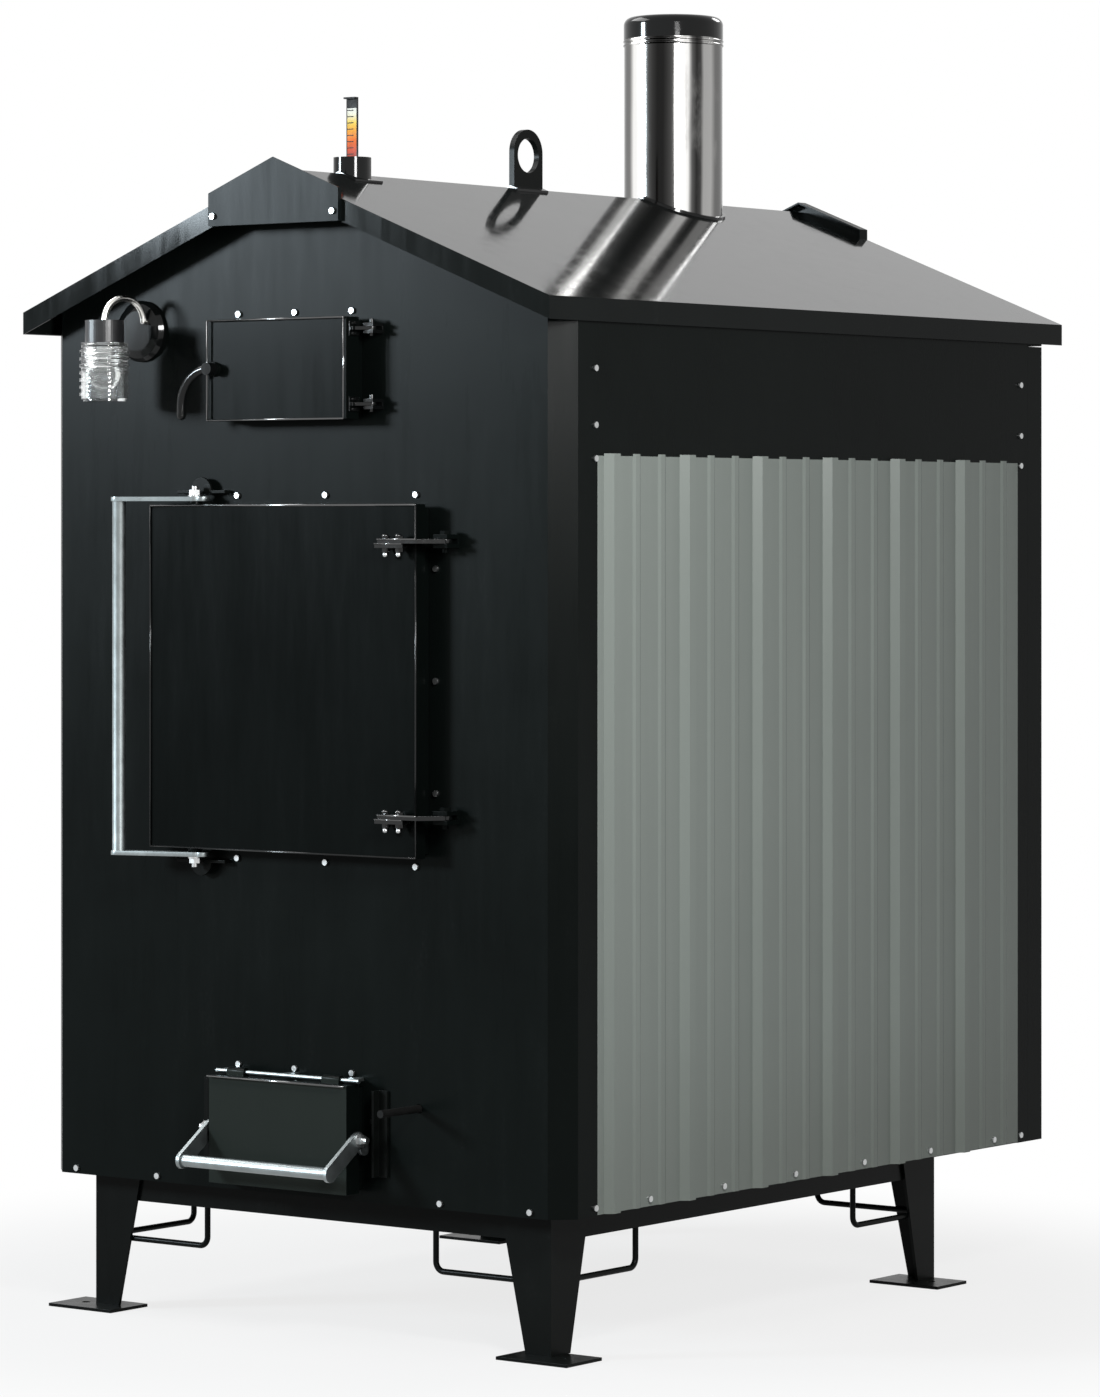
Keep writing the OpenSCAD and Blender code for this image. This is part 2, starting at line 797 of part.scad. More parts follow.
// The five-sided plate of a ridge end cap
module cap_plate(y0) {
  slab_y(y0, y0 + sheet)
    polygon([[-cap_half, cap_low], [cap_half, cap_low], [cap_half, roof_top(cap_half) + cap_rise],
      [0, ridge_z + cap_rise], [-cap_half, roof_top(cap_half) + cap_rise]]);
}

// The front cap is a shallow tray with an open top; the rear one folds over the roof
module ridge_caps() {
  front = roof_front - cap_tray;
  color(black) difference() {
    union() {
      cap_plate(front);
      mirrored() block([cap_half - sheet, front, cap_low], [cap_half, roof_front, roof_top(cap_half) + cap_rise]);
      block([-cap_half, front, cap_low], [cap_half, roof_front, cap_low + sheet]);
      cap_plate(roof_back);
      slab_y(roof_back - cap_reach, roof_back + sheet) difference() {
        chevron(cap_half, -cap_rise, 0);
        translate([0, -roof_v]) chevron(cap_half - sheet, -cap_rise, 2 * cap_rise);
      }
    }
    cap_screw_holes();
  }
}

// Door frames, doors and gaskets --------------------------------------

module main_jamb() {
  color(black) front_ring(main_jamb_w, main_jamb_h, main_z, jamb_wall, jamb_face, fire_front);
}
module upper_jamb() {
  color(black) front_ring(small_jamb_w, upper_jamb_h, upper_z, jamb_wall, jamb_face, fire_front);
}
module ash_jamb() {
  color(black) front_ring(small_jamb_w, ash_jamb_h, ash_z, jamb_wall, jamb_face, fire_front);
}

// The gasket runs round the middle of the frame's edge
function rope_w(w) = w - 2 * door_lap - jamb_wall + gasket_w;

// A door with its gasket groove and the raised liner behind it
module door_leaf(w, h, z, t) {
  liner_in = 14;
  liner_t = 22;
  difference() {
    slab_y(door_back - t, door_back) front_rect(w, h, z);
    front_ring(rope_w(w), rope_w(h), z, gasket_w, door_back - gasket_d, door_back + cut);
  }
  slab_y(door_back - cut, door_back + liner_t)
    front_rect(w - 2 * (door_lap + jamb_wall + liner_in), h - 2 * (door_lap + jamb_wall + liner_in), z);
}

module main_door() {
  color(black) difference() {
    union() {
      door_leaf(main_w, main_h, main_z, main_t);
      // bosses that space the handle off the door's top and bottom edges
      for (s = [-1, 1]) translate([0, 0, main_z]) mirror([0, 0, s < 0 ? 1 : 0])
        bar_z(-bail_pivot_x, bail_y, main_h / 2 - cut, bail_arm_z - seat, main_t / 2);
    }
    for (s = [-1, 1]) translate([0, 0, main_z]) mirror([0, 0, s < 0 ? 1 : 0])
      bar_z(-bail_pivot_x, bail_y, main_h / 2 - pivot_deep, bail_arm_z + cut, pivot_r + run_fit);
  }
}

// The rope gasket of a door
module gasket(w, h, z) {
  color("#c9c4b4") front_ring(rope_w(w), rope_w(h), z, gasket_w, door_back - gasket_d, door_back);
}
module main_gasket() { gasket(main_w, main_h, main_z); }
module upper_gasket() { gasket(small_w, upper_h, upper_z); }
module ash_gasket() { gasket(small_w, ash_h, ash_z); }

// The bow handle of the fire door, in its closed place
module main_bail() {
  arm_top = bail_arm_z + arm_t;
  color(zinc) translate([-bail_pivot_x, bail_y, main_z]) rotate([0, 0, bail_angle]) {
    for (s = [-1, 1]) mirror([0, 0, s < 0 ? 1 : 0]) difference() {
      union() {
        block([-bail_arm, -arm_w / 2, bail_arm_z], [0, arm_w / 2, arm_top]);
        bar_z(0, 0, bail_arm_z, arm_top, arm_w / 2);
        bar_z(-bail_arm, 0, bail_arm_z, arm_top, arm_w / 2);
        bar_z(cam_out, 0, bail_arm_z, arm_top, cam_r);
      }
      bar_z(0, 0, bail_arm_z - cut, arm_top + cut, pivot_r + run_fit);
    }
    bar_z(-bail_arm, 0, -bail_arm_z - cut, bail_arm_z + cut, grip_r);
  }
}

// The washer, nut and thread end on a handle's pivot, along +Z
module pivot_stack() {
  cylinder(h = washer_h, r = washer_r);
  translate([0, 0, washer_h]) cylinder(h = nut_h, r = nut_r, $fn = 6);
  translate([0, 0, washer_h + nut_h]) cylinder(h = bolt_end, r = pivot_r);
}

module main_bail_bolts() {
  top = bail_arm_z + arm_t + seat;
  color(bright) translate([-bail_pivot_x, bail_y, main_z]) for (s = [-1, 1]) mirror([0, 0, s < 0 ? 1 : 0]) {
    bar_z(0, 0, main_h / 2 - pivot_deep, top + cut, pivot_r);
    translate([0, 0, top]) pivot_stack();
  }
}

// The catch plates on the panel above and below the handle's arms, each with a half disc
module main_keepers() {
  z0 = bail_arm_z + arm_t + keeper_gap;
  r = keeper_disc_r;
  color(black) translate([-bail_pivot_x, front_y, main_z]) for (s = [-1, 1]) mirror([0, 0, s < 0 ? 1 : 0]) {
    block([-keeper_half, -keeper_out, z0], [keeper_half, 0, z0 + keeper_t]);
    translate([0, 0, z0 + keeper_t]) intersection() {
      bar_y(0, -keeper_out, keeper_t - keeper_out, 0, r);
      block([-r - cut, -keeper_out - cut, -cut], [r + cut, 0, r + cut]);
    }
  }
}

// Hinges --------------------------------------------------------------

// The height of each fire door strap's underside
strap_z = [main_z - hinge_span, main_z + hinge_span];

module main_hinge_brackets() {
  reach = pin_off + 15;
  ear_t = 8;
  color(black) for (z = strap_z) difference() {
    union() {
      block([main_pin_x - 16, front_y - 6, z - ear_t - seat],
        [main_pin_x + 16, front_y, z + strap_t + ear_t + seat]);
      for (z0 = [z - ear_t - seat, z + strap_t + seat])
        block([main_pin_x - 16, front_y - reach, z0], [main_pin_x + 16, front_y, z0 + ear_t]);
    }
    bar_z(main_pin_x, pin_y, z - ear_t - cut, z + strap_t + ear_t + cut, pin_r + run_fit);
  }
}

module main_hinge_pins() {
  ear_t = 8;
  color(black) for (z = strap_z) {
    bar_z(main_pin_x, pin_y, z - ear_t - 8, z + strap_t + ear_t + 2 * seat + cut, pin_r);
    translate([main_pin_x, pin_y, z + strap_t + ear_t + 2 * seat]) cylinder(h = 6, r = 10, $fn = 6);
  }
}

// Straps on the fire door: a lug welded to the door, the strap over it and two bolts
module main_hinge_straps() {
  lug_front = main_face - 30;
  x0 = main_w / 2 - strap_in;
  x1 = main_w / 2 + 14;
  color(black) for (z = strap_z) {
    difference() {
      union() {
        translate([0, 0, z]) linear_extrude(strap_t) polygon([[x0, lug_front], [x1 + 10, lug_front],
          [main_pin_x + 9, pin_y - 11], [main_pin_x + 9, pin_y], [main_pin_x - 13, pin_y],
          [x1 - 6, main_face - 2], [x0, main_face - 2]]);
        bar_z(main_pin_x, pin_y, z, z + strap_t, 13);
        block([x0 - 8, lug_front + 2, z - strap_t], [x1 - 24, main_face, z]);
      }
      bar_z(main_pin_x, pin_y, z - cut, z + strap_t + cut, pin_r + run_fit);
    }
    for (x = [x0 + 9, x0 + 39]) {
      translate([x, lug_front + 15, z + strap_t]) cylinder(h = 5, r = 8, $fn = 6);
      translate([x, lug_front + 15, z - strap_t - 7]) cylinder(h = 7, r = 8, $fn = 6);
      bar_z(x, lug_front + 15, z - strap_t - 14, z - strap_t - 7, 4.5);
    }
  }
}

// The height of each small strap's underside
small_strap_z = [upper_z - small_hinge_span, upper_z + small_hinge_span];
small_strap_t = 6;

module upper_hinges() {
  ear_t = 6;
  color(black) for (z = small_strap_z) {
    difference() {
      union() {
        block([upper_pin_x - 11, front_y - 5, z - ear_t - seat],
          [upper_pin_x + 11, front_y, z + small_strap_t + ear_t + seat]);
        for (z0 = [z - ear_t - seat, z + small_strap_t + seat])
          block([upper_pin_x - 11, front_y - pin_off - 10, z0], [upper_pin_x + 11, front_y, z0 + ear_t]);
      }
      bar_z(upper_pin_x, pin_y, z - ear_t - cut, z + small_strap_t + ear_t + cut, small_pin_r - cut);
    }
    bar_z(upper_pin_x, pin_y, z - ear_t - 5, z + small_strap_t + ear_t + 8, small_pin_r);
  }
}

module upper_hinge_straps() {
  x0 = small_w / 2;
  y0 = small_face + 4;
  y1 = door_back - 3;
  color(black) for (z = small_strap_z) {
    difference() {
      union() {
        block([x0, y0, z], [x0 + 12, y1, z + small_strap_t]);
        translate([0, 0, z]) linear_extrude(small_strap_t) polygon([[x0 + 2, y0], [upper_pin_x, pin_y - 9],
          [upper_pin_x, pin_y + 9], [x0 + 2, y1]]);
        bar_z(upper_pin_x, pin_y, z, z + small_strap_t, 9);
        block([x0, y0, z - 10], [x0 + 4, y1, z + small_strap_t + 10]);
      }
      bar_z(upper_pin_x, pin_y, z - cut, z + small_strap_t + cut, small_pin_r + run_fit);
    }
    for (dz = [-6, small_strap_t + 6]) bar_x(x0 + 4, x0 + 8, (y0 + y1) / 2, z + dz, 3.5);
  }
}

// Cleaning door -------------------------------------------------------

lever_x = -(small_w / 2 - 14);
lever_z = upper_z + 3;
lever_tip = 18;

module upper_door() {
  color(black) difference() {
    union() {
      door_leaf(small_w, upper_h, upper_z, small_t);
      bar_y(lever_x, small_face - 8, small_face + cut, lever_z, 13);
    }
    bar_y(lever_x, small_face - 8 - cut, door_back - gasket_d - 4, lever_z, 7 + run_fit);
  }
}

// The curved lever: a spindle in the door and a quarter bend that hangs outside it
module upper_lever() {
  face = small_face - 8 - seat;
  y = face - lever_r;
  end_x = lever_x - lever_sweep;
  end_z = lever_z - lever_sweep;
  color(black) {
    bar_y(lever_x, face - 2, door_back - gasket_d - 5, lever_z, 7);
    bar_y(lever_x, face - 2 * lever_r, face, lever_z, lever_r + 3);
    translate([lever_x, y, end_z]) rotate([90, 0, 0]) rotate([0, 0, 90])
      rotate_extrude(angle = 90) translate([lever_sweep, 0]) circle(r = lever_r);
    bar_z(end_x, y, end_z - lever_tip, end_z, lever_r);
    translate([end_x, y, end_z - lever_tip]) sphere(r = lever_r);
  }
}

// Ash door ------------------------------------------------------------

knuckle_l = 40;
knuckle_in = 30;
knuckle_wall = 4;
ash_boss_r = 14;

module ash_door() {
  w = small_w / 2;
  deep = ash_bolt_deep + run_fit;
  color(black) difference() {
    union() {
      door_leaf(small_w, ash_h, ash_z, small_t);
      // knuckles that hang the door from its rod
      for (x = [-w + knuckle_in, w - knuckle_in - knuckle_l]) {
        bar_x(x, x + knuckle_l, ash_pin_y, ash_pin_z, ash_rod_r + knuckle_wall);
        block([x, ash_pin_y - ash_rod_r - knuckle_wall, ash_z + ash_h / 2 - cut],
          [x + knuckle_l, ash_pin_y + ash_rod_r + knuckle_wall, ash_pin_z]);
      }
      // bosses beside the bow handle's arms
      mirrored() bar_x(w - cut, ash_arm_x - seat, ash_pivot_y, ash_z, ash_boss_r);
    }
    bar_x(-w, w, ash_pin_y, ash_pin_z, ash_rod_r + run_fit);
    mirrored() bar_x(w - deep, ash_arm_x + cut, ash_pivot_y, ash_z, pivot_r + run_fit);
  }
}

// The fixed rod above the ash door, carried by three short arms on the panel
module ash_hinge_rod() {
  w = small_w / 2;
  color(black) {
    bar_x(-w, w + 12, ash_pin_y, ash_pin_z, ash_rod_r);
    for (x = [-w + 4, -12, w - 24]) {
      block([x, ash_pin_y + 2, ash_pin_z - 3], [x + 20, front_y, ash_pin_z + 3]);
    }
  }
}

module ash_bail() {
  x0 = ash_arm_x;
  x1 = ash_arm_x + arm_t;
  color(zinc) translate([0, ash_pivot_y, ash_z]) rotate([ash_angle, 0, 0]) {
    mirrored() difference() {
      union() {
        block([x0, -ash_arm, -arm_w / 2], [x1, 0, arm_w / 2]);
        bar_x(x0, x1, 0, 0, arm_w / 2);
        bar_x(x0, x1, -ash_arm, 0, arm_w / 2);
        bar_x(x0, x1, ash_cam_y, -ash_cam_z, ash_cam_r);
      }
      bar_x(x0 - cut, x1 + cut, 0, 0, pivot_r + run_fit);
    }
    bar_x(-x0 - cut, x0 + cut, -ash_arm, 0, ash_grip_r);
  }
}

// The pivot bolts of the ash door's bow handle
module ash_bail_bolts() {
  head = ash_arm_x + arm_t + seat;
  color(bright) mirrored() {
    bar_x(small_w / 2 - ash_bolt_deep, head + cut, ash_pivot_y, ash_z, pivot_r);
    translate([head, ash_pivot_y, ash_z]) rotate([0, 90, 0]) pivot_stack();
  }
}

// Side ears on the panel beside the ash door, with the handle's catch bolts
module ash_brackets() {
  x = ash_arm_x + arm_t + ear_gap;
  z0 = ash_z - ash_h / 2 + ear_low;
  z1 = ash_z + ash_h / 2 - ear_top;
  color(black) mirrored() {
    block([x, front_y - ear_out, z0], [x + ear_t, front_y, z1]);
    block([x, front_y - ear_t, z0], [x + ear_w, front_y, z1]);
    translate([x, front_y - catch_off, ash_z + catch_up]) rotate([0, -90, 0])
      cylinder(h = catch_h, r = catch_r, $fn = 6);
  }
}

// Roof fittings -------------------------------------------------------

vent_saddle = 40;
eye_saddle = 17;
eye_pad = 4;
eye_crown = 5;
collar = 7;

// A thin saddle on the ridge, from y0 to y1
module saddle(half, y0, y1, t) {
  slab_y(y0, y1) chevron(half, -t, -seat);
}

module roof_flashings() {
  color(black) {
    difference() {
      saddle(vent_saddle, vent_y - vent_saddle, vent_y + vent_saddle, 4);
      bar_z(0, vent_y, eave_z, ridge_z + 9, vent_r + bolt_fit);
    }
    difference() {
      saddle(eye_saddle, eye_y - eye_r - eye_pad, eye_y + eye_r + eye_pad, 5);
      block([-eye_t / 2 - bolt_fit, eye_y - eye_r - bolt_fit, eave_z],
        [eye_t / 2 + bolt_fit, eye_y + eye_r + bolt_fit, ridge_z + 9]);
    }
    intersection() {
      saddle(chimney_r + collar, chimney_y - chimney_r - collar, chimney_y + chimney_r + collar, 6);
      difference() {
        bar_z(0, chimney_y, eave_z, ridge_z + 9, chimney_r + collar - 1);
        bar_z(0, chimney_y, eave_z, ridge_z + 9, chimney_r + bolt_fit);
      }
    }
  }
}

module lifting_eye() {
  eye_z = ridge_z + eye_up;
  t = eye_t / 2;
  color(black) difference() {
    union() {
      block([-t, eye_y - eye_r, jacket_top], [t, eye_y + eye_r, eye_z + eye_crown]);
      bar_x(-t, t, eye_y, eye_z + eye_crown, eye_r);
    }
    bar_x(-t - cut, t + cut, eye_y, eye_z, eye_hole_r);
  }
}

vent_wall = 2;

module vent_tube() {
  wall = vent_wall;
  guide_z = vent_top - 20;
  color("#2a2c2d") difference() {
    bar_z(0, vent_y, jacket_top, vent_top, vent_r);
    bar_z(0, vent_y, jacket_top - cut, guide_z, vent_r - wall);
    bar_z(0, vent_y, guide_z + 3, vent_top + cut, vent_r - wall);
    translate([0, vent_y, 0])
      block([-gauge_w / 2 - seat, -gauge_t / 2 - seat, guide_z - cut],
        [gauge_w / 2 + seat, gauge_t / 2 + seat, guide_z + 4]);
  }
}

gauge_t = 3;
gauge_curl = 10;
float_gap = 5;
float_h = 50;
stem_r = 3;

strip_below = 110;

// The float in the vent, its stem and the strip that shows the water level
module level_gauge() {
  float_z = jacket_top + gauge_travel + float_gap;
  strip_z = vent_top - strip_below;
  top = vent_top + gauge_out;
  t = gauge_t / 2;
  color("#3a3a38") translate([0, vent_y, 0]) {
    bar_z(0, 0, float_z, float_z + float_h, vent_r - float_gap);
    bar_z(0, 0, float_z + float_h - cut, strip_z + cut, stem_r);
    block([-gauge_w / 2, -t, strip_z], [gauge_w / 2, t, top]);
    // the curled end at the top
    block([-gauge_w / 2, -gauge_curl, top - gauge_t], [gauge_w / 2, t, top]);
  }
}

bead_low = 4;
bead_pitch = 8;
bead_r = 3;

module chimney_casing() {
  color("#9c9c9a") difference() {
    union() {
      bar_z(0, chimney_y, jacket_top + seat, chimney_top - ring_h, chimney_r);
      // two pressed beads below the ring
      for (k = [0, 1]) translate([0, chimney_y, chimney_top - ring_h - bead_low - k * bead_pitch])
        rotate_extrude() translate([chimney_r - 1, 0]) circle(r = bead_r);
    }
    bar_z(0, chimney_y, jacket_top - cut, chimney_top, chimney_r - flue_wall);
  }
}

module chimney_flue() {
  color("#7d7d7b") difference() {
    bar_z(0, chimney_y, smoke_top, chimney_top - 4, flue_r + flue_wall);
    bar_z(0, chimney_y, smoke_top - cut, chimney_top, flue_r);
  }
}

// The dark end ring between the flue and the casing
module chimney_ring() {
  low = chimney_top - ring_h;
  inner = flue_r + flue_wall + seat;
  outer = chimney_r + 1;
  lip = 8;
  deep = 12;
  round_r = 16;
  color(black) translate([0, chimney_y, 0]) rotate_extrude() difference() {
    union() {
      translate([inner, low - deep]) square([lip, ring_h]);
      translate([inner, low]) square([outer - inner, ring_h - round_r]);
      translate([inner, low]) square([outer - round_r - inner, ring_h]);
      translate([outer - round_r, low + ring_h - round_r]) circle(r = round_r);
    }
    translate([0, low - 2 * deep]) square([inner, ring_h + 4 * deep]);
  }
}

// Lamp ----------------------------------------------------------------

lamp_axis_y = front_y - lamp_out;
canopy_t = 18;
arm_end_y = front_y - canopy_t - 8;
arm_lean = 24;
holder_top = lamp_z + 17;
holder_h = 41;

module lamp_canopy() {
  color(black) translate([-lamp_x, front_y, lamp_z]) rotate([90, 0, 0]) rotate_extrude()
    polygon([[0, 0], [canopy_r, 0], [canopy_r, 6], [canopy_r - 6, 14], [canopy_r - 20, canopy_t],
      [0, canopy_t]]);
}

module lamp_arm() {
  r = 6;
  // the arm leans to the right on its way to the wall plate
  reach = arm_end_y - lamp_axis_y;
  bow = sqrt(arm_lean * arm_lean + reach * reach) / 2;
  color("#d8d8d4") {
    translate([-lamp_x, lamp_axis_y, holder_top]) rotate([0, 0, -atan2(arm_lean, reach)]) {
      translate([0, bow, 0]) rotate([90, 0, 90]) rotate_extrude(angle = 180) translate([bow, 0]) circle(r = r);
      bar_z(0, 0, -6, 0, r);
    }
    translate([-lamp_x + arm_lean, arm_end_y, holder_top]) sphere(r = r);
    bar_y(-lamp_x + arm_lean, arm_end_y, front_y - canopy_t, holder_top, r);
  }
  color(black) difference() {
    bar_z(-lamp_x, lamp_axis_y, holder_top - holder_h, holder_top, holder_r);
    bar_z(-lamp_x, lamp_axis_y, holder_top - holder_h - cut, holder_top - 4, holder_r - 3);
  }
}

// The glass jar, its ribs and the open neck that sits in the holder
module lamp_jar() {
  top = holder_top - holder_h - seat;
  wall = 3;
  neck_r = holder_r - 3 - seat;
  rib_r = jar_r - 3;
  color("#dfe7e8", 0.4) translate([-lamp_x, lamp_axis_y, 0]) difference() {
    union() {
      bar_z(0, 0, top - jar_h, top - cut, rib_r - 4);
      bar_z(0, 0, top - jar_h + 4, top, rib_r);
      for (i = [0 : 6]) bar_z(0, 0, top - jar_h + 10 + i * 13, top - jar_h + 16 + i * 13, jar_r);
      bar_z(0, 0, top - cut, top + 15, neck_r);
    }
    bar_z(0, 0, top - jar_h + 5, top - 6, rib_r - 4 - wall);
    bar_z(0, 0, top - 7, top + 16, neck_r - wall);
  }
}

// Boiler --------------------------------------------------------------

// Six plates that stand seat apart at their seams, or five without the lowest, less the children
module plate_box(a, b, t, low = true) {
  s = t + seat;
  difference() {
    union() {
      block(a, [b.x, a.y + t, b.z]);
      block([a.x, b.y - t, a.z], b);
      block([a.x, a.y + s, a.z], [a.x + t, b.y - s, b.z]);
      block([b.x - t, a.y + s, a.z], [b.x, b.y - s, b.z]);
      block([a.x + s, a.y + s, b.z - t], [b.x - s, b.y - s, b.z]);
      if (low) block([a.x + s, a.y + s, a.z], [b.x - s, b.y - s, a.z + t]);
    }
    children();
  }
}

module water_jacket() {
  t = jacket_t;
  color("#6d6f70") plate_box(
    [-jacket_half, jacket_front, floor_top], [jacket_half, jacket_rear, jacket_top], t) {
    slab_y(jacket_front - cut, jacket_front + t + cut) {
      front_rect(main_jamb_w + 2 * seat, main_jamb_h + 2 * seat, main_z);
      front_rect(small_jamb_w + 2 * seat, upper_jamb_h + 2 * seat, upper_z);
      front_rect(small_jamb_w + 2 * seat, ash_jamb_h + 2 * seat, ash_z);
    }
    bar_y(shaker_x, jacket_front - cut, jacket_front + t + cut, shaker_z, rod_hole_r + bolt_fit);
    bar_z(0, chimney_y, jacket_top - t - cut, jacket_top + cut, flue_r + flue_wall + seat);
    bar_z(0, vent_y, jacket_top - t - cut, jacket_top + cut, vent_r - vent_wall);
    bar_y(blower_x, jacket_rear - t - cut, jacket_rear + cut, blower_z, nozzle_r + seat);
    for (i = [0, 1]) bar_y(pipe_x[i], jacket_rear - t - cut, jacket_rear + cut, pipe_start_z[i],
      pipe_r + seat);
  }
}

// The plates round the grate's opening, and the hangers and rails that carry the grate
module grate_deck() {
  s = fire_t + seat;
  x = grate_half + grate_side;
  y0 = grate_front - shaker_stroke - grate_end;
  y1 = grate_back + shaker_stroke + grate_end;
  z1 = deck_z + fire_t;
  rail_y0 = grate_front - rail_over;
  rail_y1 = grate_back + rail_over;
  hanger = grate_half + hanger_gap;
  block([-fire_half + s, fire_front + s, deck_z], [fire_half - s, y0, z1]);
  block([-fire_half + s, y1, deck_z], [fire_half - s, fire_rear - s, z1]);
  mirrored() {
    block([x, y0 + seat, deck_z], [fire_half - s, y1 - seat, z1]);
    block([hanger, rail_y0, grate_seat - rail_plate], [hanger + hanger_t, rail_y1, deck_z - seat]);
    block([grate_half - rail_under, rail_y0, grate_seat - rail_plate], [hanger - seat, rail_y1, grate_seat]);
  }
}

module fire_box() {
  t = fire_t;
  color(rust) {
    plate_box([-fire_half, fire_front, fire_floor], [fire_half, fire_rear, fire_top], t) {
      slab_y(fire_front - cut, fire_front + t + cut) {
        front_rect(main_jamb_w - 2 * jamb_wall, main_jamb_h - 2 * jamb_wall, main_z);
        front_rect(small_jamb_w - 2 * jamb_wall, ash_jamb_h - 2 * jamb_wall, ash_z);
      }
      bar_y(shaker_x, fire_front - cut, fire_front + t + cut, shaker_z, rod_hole_r + bolt_fit);
      block([smoke_rim - smoke_half, fire_front + t + smoke_rim, fire_top - t - cut],
        [smoke_half - smoke_rim, front_chamber_y - t - smoke_rim, fire_top + cut]);
      bar_y(blower_x, fire_rear - t - cut, fire_rear + cut, blower_z, nozzle_r - nozzle_wall);
    }
    grate_deck();
    // the carriers between the jacket's floor and the fire box
    mirrored() block(
      [fire_half - carrier_in - carrier_w, fire_front + carrier_end, floor_top + jacket_t],
      [fire_half - carrier_in, fire_rear - carrier_end, fire_floor - seat]);
  }
}

// The outlines of the smoke flues in X and Z, each g larger on every side
module duct_outline(g) {
  for (k = [-1, 0, 1]) translate([k * duct_pitch, 0]) front_rect(duct_w + 2 * g, duct_h + 2 * g, duct_z);
}

// The smoke chambers at the ends of the flues
module heat_exchanger() {
  t = fire_t;
  y1 = front_chamber_y;
  y2 = rear_chamber_y;
  color(rust) {
    plate_box([-smoke_half, fire_front, fire_top], [smoke_half, y1, smoke_top], t, low = false) {
      slab_y(fire_front - cut, fire_front + t + cut)
        front_rect(small_jamb_w - 2 * jamb_wall, upper_jamb_h - 2 * jamb_wall, upper_z);
      slab_y(y1 - t - cut, y1 + cut) duct_outline(seat);
    }
    plate_box([-smoke_half, y2, fire_top + rear_chamber_up], [smoke_half, rear_chamber_end, smoke_top], t) {
      bar_z(0, chimney_y, smoke_top - t - cut, smoke_top + cut, flue_r);
      slab_y(y2 - cut, y2 + t + cut) duct_outline(seat);
    }
  }
}

module smoke_flues() {
  y0 = front_chamber_y - fire_t;
  y1 = rear_chamber_y + fire_t;
  color(rust) difference() {
    slab_y(y0, y1) duct_outline(0);
    slab_y(y0 - cut, y1 + cut) duct_outline(-duct_wall);
  }
}

// The moving grate, its drop link and the rod that comes out of the front
module shaker_grate() {
  z0 = grate_seat + seat;
  rod_y = front_y - rod_out;
  bars = 10;
  pitch = (grate_back - grate_front - 30) / bars;
  color("#4a4643") {
    difference() {
      block([-grate_half, grate_front, z0], [grate_half, grate_back, z0 + grate_t]);
      for (i = [0 : bars - 1], s = [-1, 1]) {
        x0 = s < 0 ? -grate_half + 25 : 12;
        block([x0, grate_front + 30 + i * pitch, z0 - cut],
          [x0 + grate_half - 37, grate_front + 30 + i * pitch + pitch / 2, z0 + grate_t + cut]);
      }
    }
    block([shaker_x - 24, grate_front - 10, shaker_z - 8], [shaker_x - 18, grate_front + 30, z0 + cut]);
    block([shaker_x - 24, grate_front - 10, shaker_z - 10], [shaker_x + 8, grate_front + 2, shaker_z + 10]);
    bar_y(shaker_x, rod_y, grate_front - 9, shaker_z, rod_r);
  }
}

module ash_pan() {
  half = small_jamb_w / 2 - jamb_wall - pan_side;
  y0 = fire_front + fire_t + pan_front;
  y1 = grate_back;
  z0 = fire_floor + fire_t;
  t = pan_t;
  color("#77787a") difference() {
    block([-half, y0, z0], [half, y1, z0 + pan_h]);
    block([-half + t, y0 + t, z0 + t], [half - t, y1 - t, z0 + pan_h + cut]);
  }
}

// Rear compartment ----------------------------------------------------

module rear_door() {
  t = sheet;
  color(black) {
    difference() {
      block([-half_w, rear_post_end + seat, cabinet_z], [half_w, rear_y, rear_top]);
      block([-half_w + t, rear_post_end, cabinet_z + t], [half_w - t, rear_y - t, rear_top - t]);
    }
    for (z = rear_hinge_z) difference() {
      union() {
        bar_z(rear_pin_x, rear_pin_y, z + hinge_h + seat, z + 2 * hinge_h, 6);
        block([rear_pin_x, rear_pin_y + 2, z + hinge_h + seat],
          [-half_w + cut, rear_pin_y + 6, z + 2 * hinge_h]);
      }
      bar_z(rear_pin_x, rear_pin_y, z, z + 2 * hinge_h + cut, 3 + run_fit);
    }
    // the round pull near the free edge
    bar_y(latch_x, rear_y - cut, rear_y + 14, latch_z, 16);
    bar_y(latch_x, rear_y + 12, rear_y + 24, latch_z, 26);
  }
}

// The closed draught fan on the bulkhead, its motor and its duct to the fire box
module blower() {
  y1 = bulkhead_rear + blower_depth;
  color("#2f3335") {
    bar_y(blower_x, bulkhead_rear, y1, blower_z, blower_r);
    bar_y(blower_x, y1 - cut, y1 + motor_h, blower_z, motor_r);
    difference() {
      bar_y(blower_x, fire_rear, bulkhead_rear + cut, blower_z, nozzle_r);
      bar_y(blower_x, fire_rear - cut, bulkhead_rear, blower_z, nozzle_r - nozzle_wall);
    }
  }
}

// One heating pipe, from the jacket back, round and down through the floor
module pipe_route(i, r, over) {
  z = pipe_start_z[i];
  bar_y(pipe_x[i], jacket_rear - jacket_t - over, pipe_y - pipe_turn, z, r);
  translate([pipe_x[i], pipe_y - pipe_turn, z - pipe_turn]) rotate([90, 0, 90])
    rotate_extrude(angle = 90) translate([pipe_turn, 0]) circle(r = r);
  bar_z(pipe_x[i], pipe_y, pipe_end - over, z - pipe_turn, r);
}

module heating_pipes() {
  low = pipe_end - socket_d;
  socket_r = pipe_r + 0.2;
  color("#b08a4a") for (i = [0, 1]) difference() {
    union() {
      pipe_route(i, pipe_r, 0);
      bar_z(pipe_x[i], pipe_y, low, pipe_end + socket_d, coupling_r);
    }
    pipe_route(i, pipe_r - pipe_wall, cut);
    bar_z(pipe_x[i], pipe_y, low - cut, pipe_end, socket_r);
  }
}

